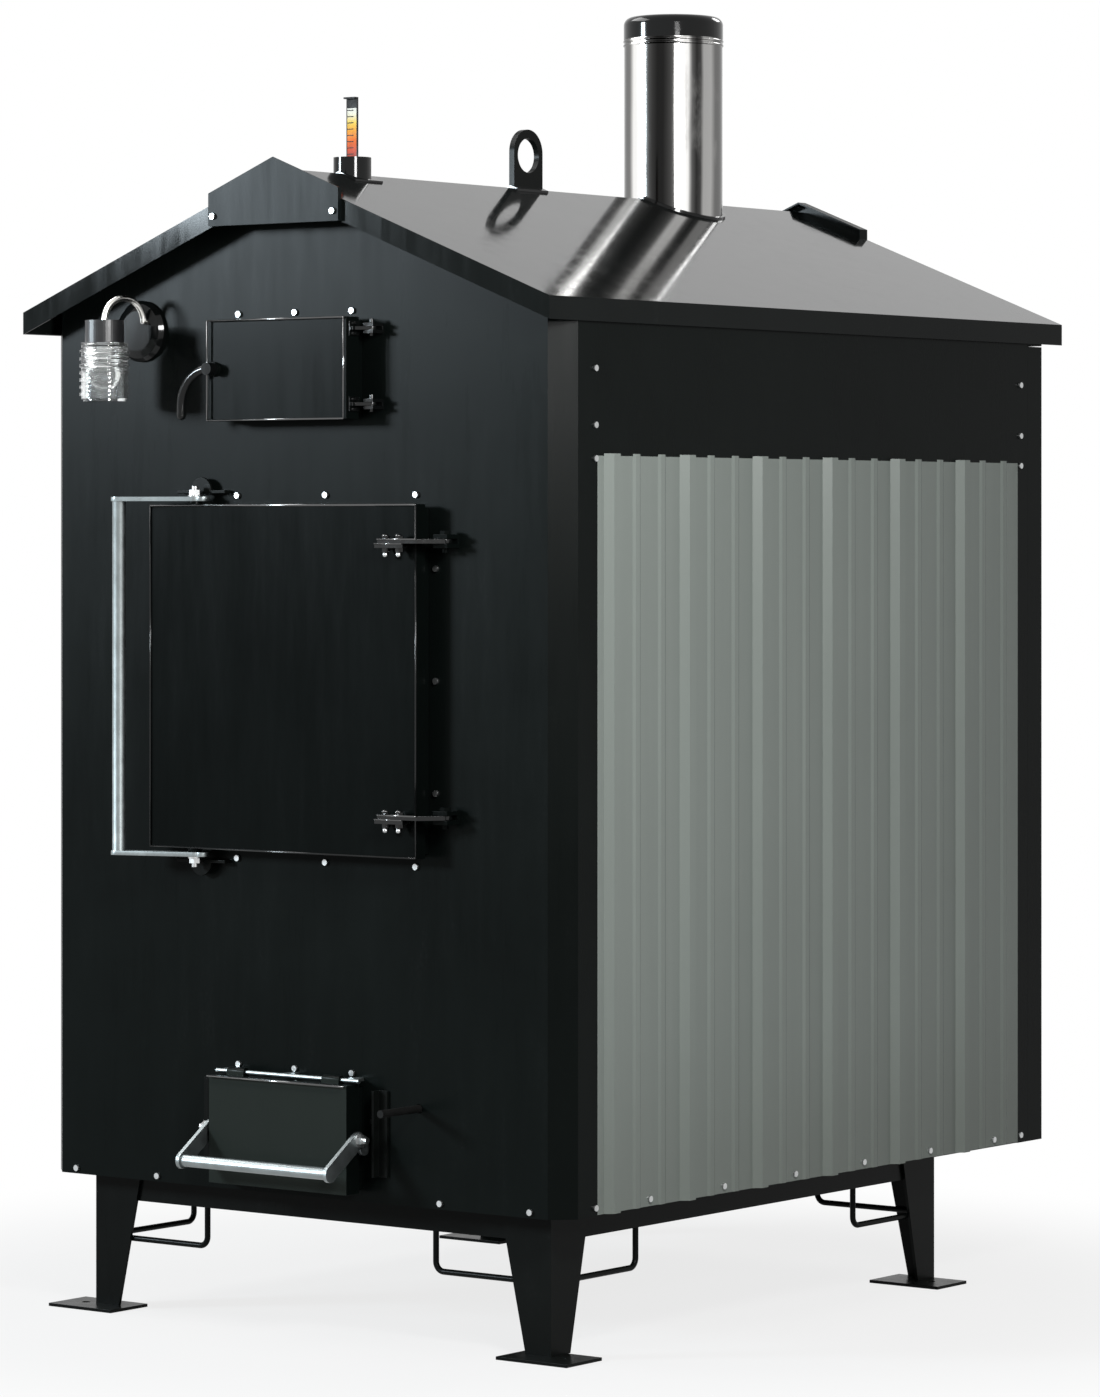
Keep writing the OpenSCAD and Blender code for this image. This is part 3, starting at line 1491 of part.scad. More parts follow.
base_side_rails();
base_cross_rails();
floor_pan();
legs();
foot_plates();
leg_braces();
front_panel();
front_post_left();
front_post_right();
rear_posts();
upper_bands();
side_sheet_left();
side_sheet_right();
bulkhead();
rear_gable();
roof();
ridge_caps();
panel_screws();
main_jamb();
main_door();
main_gasket();
main_bail();
main_bail_bolts();
main_keepers();
main_hinge_brackets();
main_hinge_pins();
main_hinge_straps();
upper_jamb();
upper_door();
upper_gasket();
upper_hinges();
upper_hinge_straps();
upper_lever();
ash_jamb();
ash_door();
ash_gasket();
ash_hinge_rod();
ash_bail();
ash_bail_bolts();
ash_brackets();
lifting_eye();
roof_flashings();
vent_tube();
level_gauge();
chimney_casing();
chimney_flue();
chimney_ring();
lamp_canopy();
lamp_arm();
lamp_jar();
water_jacket();
fire_box();
heat_exchanger();
smoke_flues();
shaker_grate();
ash_pan();
rear_door();
blower();
heating_pipes();
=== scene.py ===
import math
import bmesh
import bpy
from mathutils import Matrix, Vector


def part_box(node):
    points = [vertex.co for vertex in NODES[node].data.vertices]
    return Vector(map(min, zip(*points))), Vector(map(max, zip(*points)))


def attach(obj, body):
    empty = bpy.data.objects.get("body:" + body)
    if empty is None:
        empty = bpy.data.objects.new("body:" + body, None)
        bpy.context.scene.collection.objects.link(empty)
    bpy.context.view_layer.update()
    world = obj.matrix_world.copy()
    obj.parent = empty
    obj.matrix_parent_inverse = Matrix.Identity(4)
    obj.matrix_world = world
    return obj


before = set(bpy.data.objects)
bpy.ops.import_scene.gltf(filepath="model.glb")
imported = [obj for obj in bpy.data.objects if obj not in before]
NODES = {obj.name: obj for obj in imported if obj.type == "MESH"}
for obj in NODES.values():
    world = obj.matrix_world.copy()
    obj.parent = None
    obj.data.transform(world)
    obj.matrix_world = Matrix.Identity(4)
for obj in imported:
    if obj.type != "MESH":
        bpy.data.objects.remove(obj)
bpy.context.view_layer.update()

# An outdoor wood boiler, in metres, in the frame of the CAD: x runs to the right along its front,
# y from the front to the back, and z up from the floor.

# Camera: level, and turned and placed as the photograph's own ----------------
CAMERA_AT = (6.1417, -7.999, 1.4674)
CAMERA_TURN = math.radians(37.128)
LENS_MM, SENSOR_MM = 135.76, 36.0
SHIFT_Y = -0.122  # share of the picture's longer side

cam_data = bpy.data.cameras.new("camera")
cam_data.sensor_width = SENSOR_MM
cam_data.lens = LENS_MM
cam_data.shift_y = SHIFT_Y
cam_data.clip_end = 200.0
cam = bpy.data.objects.new("camera", cam_data)
cam.location = CAMERA_AT
cam.rotation_euler = (math.pi / 2, 0.0, CAMERA_TURN)
bpy.context.scene.collection.objects.link(cam)
bpy.context.scene.camera = cam
bpy.context.scene.view_settings.view_transform = "Standard"


# Node trees -------------------------------------------------------------------
class Tree:
    """A shader node tree. Each value that a call takes is a socket, a number or a colour."""

    def __init__(self, tree):
        self.tree = tree
        self.tree.nodes.clear()

    def node(self, kind, **props):
        node = self.tree.nodes.new(kind)
        for key, value in props.items():
            setattr(node, key, value)
        return node

    def feed(self, socket, value):
        """Links a socket to another one, or sets its own number or colour."""
        if isinstance(value, bpy.types.NodeSocket):
            self.tree.links.new(value, socket)
        elif socket.type == "RGBA":
            socket.default_value = (*value, 1)
        else:
            socket.default_value = value

    def math(self, operation, *values):
        node = self.node("ShaderNodeMath", operation=operation)
        for socket, value in zip(node.inputs, values):
            self.feed(socket, value)
        return node.outputs[0]

    def range(self, value, start, end, low=0.0, high=1.0, smooth=False):
        """Low where the value is at start and high where it is at end, and held beyond them."""
        kind = "SMOOTHSTEP" if smooth else "LINEAR"
        node = self.node("ShaderNodeMapRange", interpolation_type=kind)
        for socket, given in zip(node.inputs, (value, start, end, low, high)):
            self.feed(socket, given)
        return node.outputs[0]

    def ramp(self, value, stops):
        node = self.node("ShaderNodeValToRGB")
        elements = node.color_ramp.elements
        while len(elements) > 1:
            elements.remove(elements[-1])
        elements[0].position, elements[0].color = stops[0][0], (*stops[0][1], 1)
        for place, colour in stops[1:]:
            elements.new(place).color = (*colour, 1)
        self.feed(node.inputs[0], value)
        return node.outputs[0]

    def mix(self, share, first, second):
        node = self.node("ShaderNodeMix", data_type="RGBA")
        for index, value in ((0, share), (6, first), (7, second)):
            self.feed(node.inputs[index], value)
        return node.outputs[2]

    def axis(self, name, vector):
        node = self.node("ShaderNodeSeparateXYZ")
        self.feed(node.inputs[0], vector)
        return node.outputs[name]

    def seen(self):
        """1 for a ray that meets this directly, in a mirror or through glass, and 0 for others."""
        path = self.node("ShaderNodeLightPath")
        seen = self.math("MAXIMUM", path.outputs["Is Camera Ray"], path.outputs["Is Glossy Ray"])
        return self.math("MAXIMUM", seen, path.outputs["Is Transmission Ray"])


class Mat(Tree):
    """A material round one Principled shader. Its patterns lie in the piece's own metres."""

    def __init__(self, name):
        self.material = bpy.data.materials.new(name)
        self.material.use_nodes = True
        super().__init__(self.material.node_tree)
        self.output = self.node("ShaderNodeOutputMaterial")
        self.shader = self.node("ShaderNodeBsdfPrincipled")
        self.feed(self.output.inputs[0], self.shader.outputs[0])
        coordinates = self.node("ShaderNodeTexCoord")
        self.place = coordinates.outputs["Object"]
        self.normal = coordinates.outputs["Normal"]

    def put(self, name, value):
        self.feed(self.shader.inputs[name], value)

    def pattern(self, kind, output, stretch=None, props=None, **inputs):
        """A texture over the piece. Stretch is how often it repeats along x, y and z."""
        node = self.node(kind, **(props or {}))
        for name, value in inputs.items():
            self.feed(node.inputs[name], value)
        place = self.place
        if stretch:
            mapping = self.node("ShaderNodeMapping")
            self.feed(mapping.inputs["Scale"], stretch)
            self.feed(mapping.inputs["Vector"], place)
            place = mapping.outputs[0]
        self.feed(node.inputs["Vector"], place)
        return node.outputs[output]

    def noise(self, scale, detail=3, rough=0.5, stretch=None, warp=0.0):
        return self.pattern("ShaderNodeTexNoise", "Fac", stretch, Scale=scale, Detail=detail,
                            Roughness=rough, Distortion=warp)

    def bump(self, *layers):
        """Layers of (height, depth in metres), each laid on the one before."""
        normal = None
        for height, depth in layers:
            node = self.node("ShaderNodeBump")
            self.feed(node.inputs["Strength"], 1.0)
            self.feed(node.inputs["Distance"], depth)
            self.feed(node.inputs["Height"], height)
            if normal:
                self.feed(node.inputs["Normal"], normal)
            normal = node.outputs[0]
        self.put("Normal", normal)


def shade(colour, by):
    return tuple(v * by for v in colour)


# Kinds of surface ---------------------------------------------------------------
def painted(name, colour, rough, spec, coat=None, peel=0.00002, wave=0.0004, dent=0.0,
            dust=0.3, front=None):
    """Painted steel: orange peel, slow waves in the sheet, faint dust and handling marks.

    coat is the weight and the roughness of a clear coat. peel, wave and dent are depths in metres.
    front is a paler colour painted on faces that look forwards, as painted light on a lit face
    whose sides stay dark. A spec that is a pair is that of upright and of level faces.
    """
    m = Mat(name)
    cloud = m.noise(2.2, 4, 0.6, warp=0.4)
    streak = m.noise(9, 5, 0.65, stretch=(3.0, 3.0, 0.35))
    if front:
        # painted light: faces that look forwards take the paler front colour
        painted_lit_face = m.range(m.axis("Y", m.normal), -0.95, -0.8, 1.0, 0.0)
        m.put("Base Color", m.mix(painted_lit_face, colour, front))
    else:
        speck = m.noise(140, 4, 0.7)
        film = m.ramp(cloud, [(0.3, shade(colour, 0.82)), (0.7, shade(colour, 1.2))])
        dusty = m.range(m.math("MULTIPLY", speck, streak), 0.30, 0.46, 0.0, dust, smooth=True)
        m.put("Base Color", m.mix(dusty, film, tuple(v + 0.03 for v in shade(colour, 1.3))))
    worn = m.math("ADD", streak, m.math("MULTIPLY", cloud, 0.6))
    m.put("Roughness", m.range(worn, 0.5, 1.2, rough - 0.05, rough + 0.07))
    if isinstance(spec, tuple):
        spec = m.range(m.axis("Z", m.normal), 0.2, 0.5, *spec)
    m.put("Specular IOR Level", spec)
    if coat:
        m.put("Coat Weight", coat[0])
        m.put("Coat Roughness", coat[1])
    depths = ((1.6, wave), (420, peel), (75, dent))
    m.bump(*((m.noise(scale, 2), depth) for scale, depth in depths if depth))
    return m


def metal(name, colour, rough, clouds, spread=0.12, grain=0.00003):
    """Bare or plated metal: a cloudy tone and a fine grain, whose depth is in metres."""
    m = Mat(name)
    cloud = m.noise(clouds, 5, 0.6)
    fine = m.noise(260, 4, 0.7)
    tones = [(0.3, shade(colour, 1 - spread)), (0.7, shade(colour, 1 + spread))]
    m.put("Base Color", m.ramp(cloud, tones))
    m.put("Metallic", 1.0)
    worn = m.math("ADD", fine, m.math("MULTIPLY", cloud, 0.5))
    m.put("Roughness", m.range(worn, 0.4, 1.1, rough * 0.75, rough * 1.3))
    m.bump((fine, grain))
    return m


def plate(name, colour, scale, rough, spec=0.5):
    """Boiler plate or cast iron, with mill scale and soot."""
    m = Mat(name)
    scaling = m.noise(scale, 8, 0.65, warp=0.6)
    pits = m.pattern("ShaderNodeTexVoronoi", "Distance", Scale=scale * 6)
    tones = [(0.3, shade(colour, 0.5)), (0.5, colour), (0.72, shade(colour, 1.5))]
    m.put("Base Color", m.ramp(scaling, tones))
    m.put("Metallic", m.range(scaling, 0.4, 0.6, 0.25, 0.7))
    m.put("Specular IOR Level", spec)
    worn = m.math("ADD", scaling, pits)
    m.put("Roughness", m.range(worn, 0.4, 1.2, rough - 0.15, rough + 0.15))
    m.bump((scaling, 0.0006), (m.noise(300, 4), 0.0001))
    return m


def glass(name, tint, rough, clear):
    """Clear glass, with a trace of haze. Its bump is the caller's to add."""
    m = Mat(name)
    m.put("Base Color", m.ramp(m.noise(20), [(0.3, shade(tint, 0.97)), (0.7, tint)]))
    m.put("Roughness", m.range(m.noise(40), 0.3, 0.8, rough, rough + 0.04))
    m.put("IOR", 1.48)
    m.put("Transmission Weight", clear)
    return m


# Surfaces of one piece or pair of pieces -----------------------------------------
def ribbed_paint():
    """Grey-green paint on rolled sheet, with the roll's faint lengthwise lines, cloudy rain marks
    and a painted shade that darkens its foot.
    """
    paint, foot_painted_shade = (0.160, 0.179, 0.165), (0.128, 0.141, 0.127)
    foot, foot_end = 0.262, 0.60  # heights between which the painted shade at the foot fades out
    m = Mat("ribbed_paint")
    streak = m.noise(26, 5, 0.6, stretch=(1.0, 1.0, 0.03))
    fine = m.noise(150, 3, 0.6, stretch=(1.0, 1.0, 0.02))
    cloud = m.noise(1.7, 4, 0.6)
    film = m.ramp(streak, [(0.25, shade(paint, 0.95)), (0.75, shade(paint, 1.05))])
    film = m.mix(m.range(cloud, 0.35, 0.65, 0.0, 0.5, smooth=True), film, shade(paint, 0.94))
    # painted shade: the sheet darkens towards its foot
    low = m.range(m.axis("Z", m.place), foot, foot_end, 0.5, 0.0, smooth=True)
    m.put("Base Color", m.mix(low, film, foot_painted_shade))
    m.put("Roughness", m.range(m.math("ADD", fine, cloud), 0.6, 1.4, 0.19, 0.26))
    m.put("Specular IOR Level", 0.10)
    m.bump((m.noise(3.0, 2, stretch=(1, 1, 0.3)), 0.0006), (fine, 0.00002))
    return m


# Painted reflections: the bright and dark bands a polished tube reflects, laid in its colour. Share
# of the turn round it, and brightness
CHIMNEY_PAINTED_REFLECTIONS = (
    (0.00, 0.30), (0.05, 0.12), (0.10, 0.05), (0.150, 0.06), (0.180, 0.18), (0.190, 0.45),
    (0.202, 0.92), (0.2333, 0.90), (0.242, 0.45), (0.2502, 0.15), (0.266, 0.07), (0.281, 0.037),
    (0.296, 0.018), (0.316, 0.018), (0.3294, 0.037), (0.3427, 0.062), (0.356, 0.12),
    (0.3627, 0.26), (0.3694, 0.78), (0.375, 0.93), (0.397, 0.93), (0.4035, 0.34), (0.4105, 0.10),
    (0.4252, 0.026), (0.441, 0.055), (0.4525, 0.36), (0.4844, 0.38), (0.506, 0.144),
    (0.553, 0.05), (0.66, 0.40), (0.80, 0.10), (1.00, 0.30),
)


def stainless():
    """Polished chimney sheet: painted reflections as bright and dark lengthwise bands round it, a
    fine grain and handling marks.
    """
    low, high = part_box("chimney_flue")
    m = Mat("stainless")
    y = m.math("SUBTRACT", m.axis("Y", m.place), (low.y + high.y) / 2)
    turn = m.math("ARCTAN2", y, m.axis("X", m.place))
    wobble = m.math("MULTIPLY", m.math("SUBTRACT", m.noise(2.6), 0.5), 0.02)
    share = m.math("ADD", m.math("DIVIDE", turn, 2 * math.pi), 0.5)
    share = m.math("ADD", share, wobble)
    # painted reflections: bands of brightness by the turn round the tube
    painted_reflections = m.ramp(share, [(place, (v, v * 0.99, v * 0.97)) for place, v in CHIMNEY_PAINTED_REFLECTIONS])
    fine = m.noise(300, 3, 0.6, stretch=(1.0, 1.0, 0.01))
    smear = m.noise(16, 5, 0.6, stretch=(1.0, 1.0, 0.4))
    smeared = m.range(smear, 0.55, 0.75, 0.0, 0.35, smooth=True)
    m.put("Base Color", m.mix(smeared, painted_reflections, (0.34, 0.335, 0.325)))
    m.put("Metallic", 1.0)
    m.put("Roughness", m.range(m.math("ADD", fine, smear), 0.6, 1.4, 0.08, 0.18))
    m.bump((fine, 0.00002), (m.noise(6, 2), 0.0006))
    return m


def gauge_paint():
    """The water level scale: upwards from red through orange and yellow to white, and ruled."""
    black = (0.012, 0.012, 0.012)
    head, scale_h = 0.020, 0.112  # from the top down to the scale's top and to its end
    line_pitch, line_share = 0.0115, 0.16
    half_w, line_end, scale_foot = 0.0108, 0.004, 2.10
    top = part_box("level_gauge")[1].z
    m = Mat("gauge_paint")
    x, z = m.axis("X", m.place), m.axis("Z", m.place)
    colours = m.ramp(m.range(z, top - scale_h, top - head), [
        (0.0, (0.20, 0.03, 0.02)), (0.15, (0.38, 0.05, 0.02)), (0.36, (0.52, 0.11, 0.02)),
        (0.55, (0.56, 0.24, 0.03)), (0.72, (0.55, 0.40, 0.07)), (0.88, (0.52, 0.50, 0.40)),
        (1.0, (0.50, 0.50, 0.46))])
    step = m.math("FRACT", m.math("DIVIDE", m.math("SUBTRACT", top, z), line_pitch))
    line = m.math("LESS_THAN", step, line_share)
    ruled = m.math("MULTIPLY", line, m.math("LESS_THAN", x, line_end))
    colours = m.mix(ruled, colours, (0.02, 0.02, 0.02))
    above = m.math("GREATER_THAN", z, top - head)
    beside = m.math("GREATER_THAN", m.math("ABSOLUTE", x), half_w)
    below = m.math("LESS_THAN", z, scale_foot)
    plain = m.math("MAXIMUM", m.math("MAXIMUM", above, beside), below)
    colours = m.mix(plain, colours, black)
    dirt = m.range(m.noise(90, 4, 0.7), 0.5, 0.8, 0.0, 0.35)
    m.put("Base Color", m.mix(dirt, colours, (0.05, 0.045, 0.04)))
    m.put("Roughness", m.range(m.noise(60), 0.3, 0.7, 0.42, 0.6))
    m.put("Specular IOR Level", 0.08)
    m.bump((m.noise(200), 0.00002))
    return m


def lamp_metal():
    """The bright gooseneck, with the black holder at its end."""
    holder_top, holder_back = 1.8502, -0.700
    m = Mat("lamp_metal")
    low = m.math("LESS_THAN", m.axis("Z", m.place), holder_top)
    ahead = m.math("LESS_THAN", m.axis("Y", m.place), holder_back)
    holder = m.math("MULTIPLY", low, ahead)
    bright = m.ramp(m.noise(30, 4), [(0.3, (0.62, 0.61, 0.58)), (0.7, (0.80, 0.79, 0.76))])
    m.put("Base Color", m.mix(holder, bright, (0.010, 0.010, 0.011)))
    m.put("Metallic", m.math("SUBTRACT", 1.0, holder))
    rough = m.range(m.noise(90), 0.3, 0.7, 0.12, 0.22)
    m.put("Roughness", m.math("ADD", rough, m.math("MULTIPLY", holder, 0.16)))
    m.bump((m.noise(300, 2), 0.00002))
    return m


def jar_glass():
    """The lamp's pressed jar: rings round its neck and foot, which all but fade out between."""
    ring_pitch, ring_depth, least = 0.0078, 0.0012, 0.15  # least is the share left between
    m = glass("jar_glass", (0.95, 0.97, 0.97), 0.02, 0.975)
    z = m.axis("Z", m.place)
    ring = m.math("SINE", m.math("MULTIPLY", z, 2 * math.pi / ring_pitch))
    ends = m.math("MAXIMUM", m.range(z, 1.748, 1.764, 0.0, 1.0, smooth=True),
                  m.range(z, 1.704, 1.696, 0.0, 1.0, smooth=True))
    share = m.math("ADD", m.math("MULTIPLY", ends, 1 - least), least)
    m.bump((m.math("MULTIPLY", ring, share), ring_depth), (m.noise(16), 0.0016))
    return m


def bulb_glass():
    m = glass("bulb_glass", (0.97, 0.97, 0.95), 0.05, 1.0)
    m.bump((m.noise(60, 2), 0.0001))
    return m


def rope_braid():
    """The doors' pale glass rope, by its slanting strands."""
    m = Mat("rope_seal_braid")
    strand = m.pattern("ShaderNodeTexWave", "Fac", Scale=55, Distortion=1.5,
                       props={"wave_type": "BANDS", "bands_direction": "DIAGONAL"})
    m.put("Base Color", m.ramp(strand, [(0.0, (0.16, 0.145, 0.12)), (0.6, (0.40, 0.375, 0.325)),
                                        (1.0, (0.50, 0.475, 0.42))]))
    m.put("Roughness", m.range(m.noise(200, 4), 0.3, 0.7, 0.82, 0.96))
    m.bump((strand, 0.0012))
    return m


# Materials ----------------------------------------------------------------------
EDGE_PAINT = (0.004, 0.0045, 0.0045)

sheet_black = painted("sheet_black", (0.0022, 0.0032, 0.0029), 0.29, 0.034, dust=0.05)
frame_black = painted("frame_black", (0.0030, 0.0036, 0.0033), 0.30, 0.045,
                      peel=0.00004, wave=0.0002, dust=0.08)
door_black = painted("door_black", (0.0018, 0.0026, 0.0024), 0.24, 0.026,
                     wave=0.0002, dust=0.03)
cap_black = painted("cap_black", (0.0030, 0.0042, 0.0042), 0.28, 0.036,
                    wave=0.0003, dust=0.05)
# The ash door's front face is painted paler than its sides: painted light.
ash_black = painted("ash_black", (0.0020, 0.0030, 0.0027), 0.30, 0.04,
                    wave=0.0003, front=(0.0125, 0.0155, 0.0135))
roof_black = painted("roof_black", (0.0040, 0.0050, 0.0048), 0.09, (0.045, 0.165),
                     peel=0.000004, wave=0.0005, dust=0.06)
strap_black = painted("strap_black", (0.0026, 0.0030, 0.0030), 0.15, 0.22, coat=(0.3, 0.08),
                      peel=0.00001, wave=0.0001, dent=0.0003, dust=0.04)
gloss_black = painted("gloss_black", (0.0026, 0.0030, 0.0030), 0.12, 0.12, coat=(0.20, 0.03),
                      peel=0.00001, wave=0.0001, dust=0.04)
edge_black = painted("edge_black", EDGE_PAINT, 0.17, 0.2, coat=(0.2, 0.10),
                     peel=0.00001, wave=0.0, dust=0.05)
edge_gloss = painted("edge_gloss", EDGE_PAINT, 0.15, 1.0, coat=(0.9, 0.10),
                     peel=0.00001, wave=0.0, dust=0.05)
zinc = metal("zinc_plate", (0.235, 0.260, 0.262), 0.40, clouds=38, grain=0.00006)
bright_steel = metal("bright_steel", (0.46, 0.47, 0.47), 0.30, clouds=60)
brass = metal("pipe_brass", (0.60, 0.42, 0.18), 0.32, clouds=20, spread=0.25)
pan_steel = metal("pan_steel", (0.33, 0.33, 0.34), 0.42, clouds=8, spread=0.25)
boiler_plate = plate("boiler_plate", (0.085, 0.082, 0.08), 6, 0.62)
grate_iron = plate("grate_iron", (0.009, 0.009, 0.0088), 14, 0.5, spec=0.08)
clear_bulb = bulb_glass()

LOOKS = {
    sheet_black: ("front_panel", "front_post_left", "front_post_right", "rear_posts",
                  "upper_bands", "bulkhead", "rear_gable", "rear_door", "floor_pan"),
    frame_black: ("base_side_rails", "base_cross_rails", "legs", "foot_plates", "leg_braces",
                  "main_keepers", "ash_brackets", "blower", "lifting_eye"),
    door_black: ("main_door", "upper_door", "main_jamb", "upper_jamb", "ash_jamb",
                 "main_hinge_brackets", "main_hinge_pins"),
    ash_black: ("ash_door",),
    strap_black: ("main_hinge_straps", "upper_hinges", "upper_hinge_straps"),
    gloss_black: ("upper_lever", "roof_flashings", "vent_tube", "chimney_ring", "lamp_canopy"),
    roof_black: ("roof",),
    cap_black: ("ridge_caps",),
    ribbed_paint(): ("side_sheet_left", "side_sheet_right"),
    zinc: ("main_bail", "ash_bail", "ash_hinge_rod"),
    bright_steel: ("panel_screws", "main_bail_bolts", "ash_bail_bolts"),
    stainless(): ("chimney_casing", "chimney_flue"),
    gauge_paint(): ("level_gauge",),
    lamp_metal(): ("lamp_arm",),
    jar_glass(): ("lamp_jar",),
    rope_braid(): ("main_gasket", "upper_gasket", "ash_gasket"),
    boiler_plate: ("water_jacket", "fire_box", "heat_exchanger", "smoke_flues"),
    pan_steel: ("ash_pan",),
    grate_iron: ("shaker_grate",),
    brass: ("heating_pipes",),
}
for look, names in LOOKS.items():
    for name in names:
        data = NODES[name].data
        data.materials.clear()
        data.materials.append(look.material)

# Small rounded edges. The straps' edges get a glossier paint, as on a ground corner.
WELD_GAP = 0.00001
FLAT_TURN, EDGE_TURN = math.radians(0.5), math.radians(38)
BEVELS = {
    0.0012: ("main_hinge_straps", "main_hinge_brackets", "upper_hinges", "upper_hinge_straps"),
    0.0010: ("main_door", "upper_door", "ash_door", "main_keepers", "main_bail", "ash_bail",
             "ash_brackets", "foot_plates"),
}
GLOSSY_EDGED = ("main_hinge_straps", "upper_hinge_straps")
for width, names in BEVELS.items():
    for name in names:
        node = NODES[name]
        weld = node.modifiers.new("weld", "WELD")
        weld.merge_threshold = WELD_GAP
        flat = node.modifiers.new("flat", "DECIMATE")
        flat.decimate_type = "DISSOLVE"
        flat.angle_limit = FLAT_TURN
        bevel = node.modifiers.new("bevel", "BEVEL")
        bevel.width = width
        bevel.segments = 3
        bevel.limit_method = "ANGLE"
        bevel.angle_limit = EDGE_TURN
        bevel.harden_normals = True
        if name in GLOSSY_EDGED:
            node.data.materials.append(edge_black.material)
            bevel.material = 1


# New pieces -----------------------------------------------------------------------
def piece(name, mesh, look, body):
    data = bpy.data.meshes.new(name)
    bmesh.ops.recalc_face_normals(mesh, faces=mesh.faces)
    mesh.to_mesh(data)
    mesh.free()
    for face in data.polygons:
        face.use_smooth = True
    data.materials.append(look.material)
    made = bpy.data.objects.new(name, data)
    bpy.context.scene.collection.objects.link(made)
    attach(made, body)


def close_rings(mesh, rings):
    for first, second in zip(rings, rings[1:]):
        for i in range(len(first)):
            j = (i + 1) % len(first)
            mesh.faces.new((first[i], first[j], second[j], second[i]))
    mesh.faces.new(rings[0])
    mesh.faces.new(rings[-1][::-1])


def lathe(mesh, profile, x, y, steps):
    """Turns an outline of (radius, height) pairs round the upright line at x and y."""
    turns = [2 * math.pi * i / steps for i in range(steps)]
    close_rings(mesh, [[mesh.verts.new((x + r * math.cos(a), y + r * math.sin(a), z))
                        for a in turns] for r, z in profile])


def rod(mesh, start, end, radius, steps):
    """A straight round bar from one point to another."""
    start, end = Vector(start), Vector(end)
    along = (end - start).normalized()
    side = along.cross(Vector((0, 0, 1)))
    if side.length < 1e-4:
        side = along.cross(Vector((1, 0, 0)))
    side.normalize()
    other = side.cross(along).normalized()
    turns = [2 * math.pi * i / steps for i in range(steps)]
    close_rings(mesh, [[mesh.verts.new(p + (side * math.cos(a) + other * math.sin(a)) * radius)
                        for a in turns] for p in (start, end)])


# The doors' folded front edges: narrow rounded rolls that catch the light, glossiest at the top.
# The middle of a roll lies a little inside the outline of its door, and behind the front of a
# node's box. The cleaning door's box ends at the boss of its lever, so the rolls of that door and
# of the ash door stand about 5 mm before the doors' faces.
ROLL_IN, ROLL_STEPS = 0.0012, 16
DOOR_ROLLS = {
    # door: node of that box, width, height, middle height, radius at sides, at top, look of sides
    "main_door": ("main_door", 0.628, 0.630, 1.195, 0.0017, 0.0022, edge_black),
    "upper_door": ("upper_door", 0.324, 0.184, 1.7545, 0.0018, 0.0017, edge_gloss),
    "ash_door": ("upper_door", 0.324, 0.196, 0.371, 0.0, 0.0020, edge_gloss),
}
for door, (at, w, h, middle, side_r, top_r, side_look) in DOOR_ROLLS.items():
    y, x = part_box(at)[0].y + ROLL_IN, w / 2 - ROLL_IN
    low, high = middle - h / 2 + ROLL_IN, middle + h / 2 - ROLL_IN
    if side_r:
        mesh = bmesh.new()
        rod(mesh, (-x, y, low), (x, y, low), side_r, ROLL_STEPS)
        for side in (-x, x):
            rod(mesh, (side, y, low), (side, y, high), side_r, ROLL_STEPS)
        piece(door + "_edge_sides", mesh, side_look, door)
    mesh = bmesh.new()
    rod(mesh, (-x, y, high), (x, y, high), top_r, ROLL_STEPS)
    piece(door + "_edge_top", mesh, edge_gloss, door)

# The fire door's hinges: rounded bolt crowns, bare bolt ends and the ground edges of the straps
STRAP_HEIGHTS, BOLT_X, BOLT_STEPS = (0.950, 1.440), (0.257, 0.287), 24
STRAP_OUT, BOLT_IN = 0.030, 0.015  # from the front of the door's box out, and from there back in
STRAP_EDGES = (
    # x from, x to, how far back in, how far above the strap's height, radius
    (0.249, 0.337, 0.001, 0.0075, 0.0016),
    (0.241, 0.303, 0.003, -0.0005, 0.0012),
)
BOLT_CROWN = ((0.0068, 0.0125), (0.0062, 0.0146), (0.0045, 0.0160), (0.0020, 0.0168),
              (0.0003, 0.0170))
BOLT_END = ((0.0003, -0.0246), (0.0022, -0.0243), (0.0038, -0.0233), (0.0047, -0.0217),
            (0.0047, -0.0150))
crowns, ends = bmesh.new(), bmesh.new()
strap_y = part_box("main_door")[0].y - STRAP_OUT
for z in STRAP_HEIGHTS:
    for start, end, behind, above, radius in STRAP_EDGES:
        rod(crowns, (start, strap_y + behind, z + above), (end, strap_y + behind, z + above),
            radius, 12)
    for x in BOLT_X:
        for mesh, profile in ((crowns, BOLT_CROWN), (ends, BOLT_END)):
            lathe(mesh, [(r, z + h) for r, h in profile], x, strap_y + BOLT_IN, BOLT_STEPS)
piece("main_hinge_crowns", crowns, edge_gloss, "main_door")
piece("main_hinge_bolt_ends", ends, bright_steel, "main_door")

# The bulb inside the lamp's jar, and its ridged socket: outlines of (radius, height)
BULB = ((0.0005, 1.722), (0.012, 1.7235), (0.021, 1.729), (0.0275, 1.738), (0.030, 1.748),
        (0.0285, 1.759), (0.0235, 1.771), (0.0175, 1.782), (0.0140, 1.792), (0.0132, 1.800))
SOCKET = ((0.0136, 1.797), (0.0150, 1.799), (0.0142, 1.802), (0.0152, 1.805), (0.0142, 1.808),
          (0.0152, 1.811), (0.0142, 1.814), (0.0152, 1.817), (0.0142, 1.820), (0.019, 1.824),
          (0.019, 1.8455))
LAMP_STEPS = 48
jar_low, jar_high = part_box("lamp_jar")
jar_middle = (jar_low + jar_high) / 2
for name, profile, look, slot in (("lamp_bulb", BULB, clear_bulb, "clear_glass"),
                                  ("lamp_socket", SOCKET, bright_steel, "lamp_metal")):
    mesh = bmesh.new()
    lathe(mesh, profile, jar_middle.x, jar_middle.y, LAMP_STEPS)
    piece(name, mesh, look, "boiler")


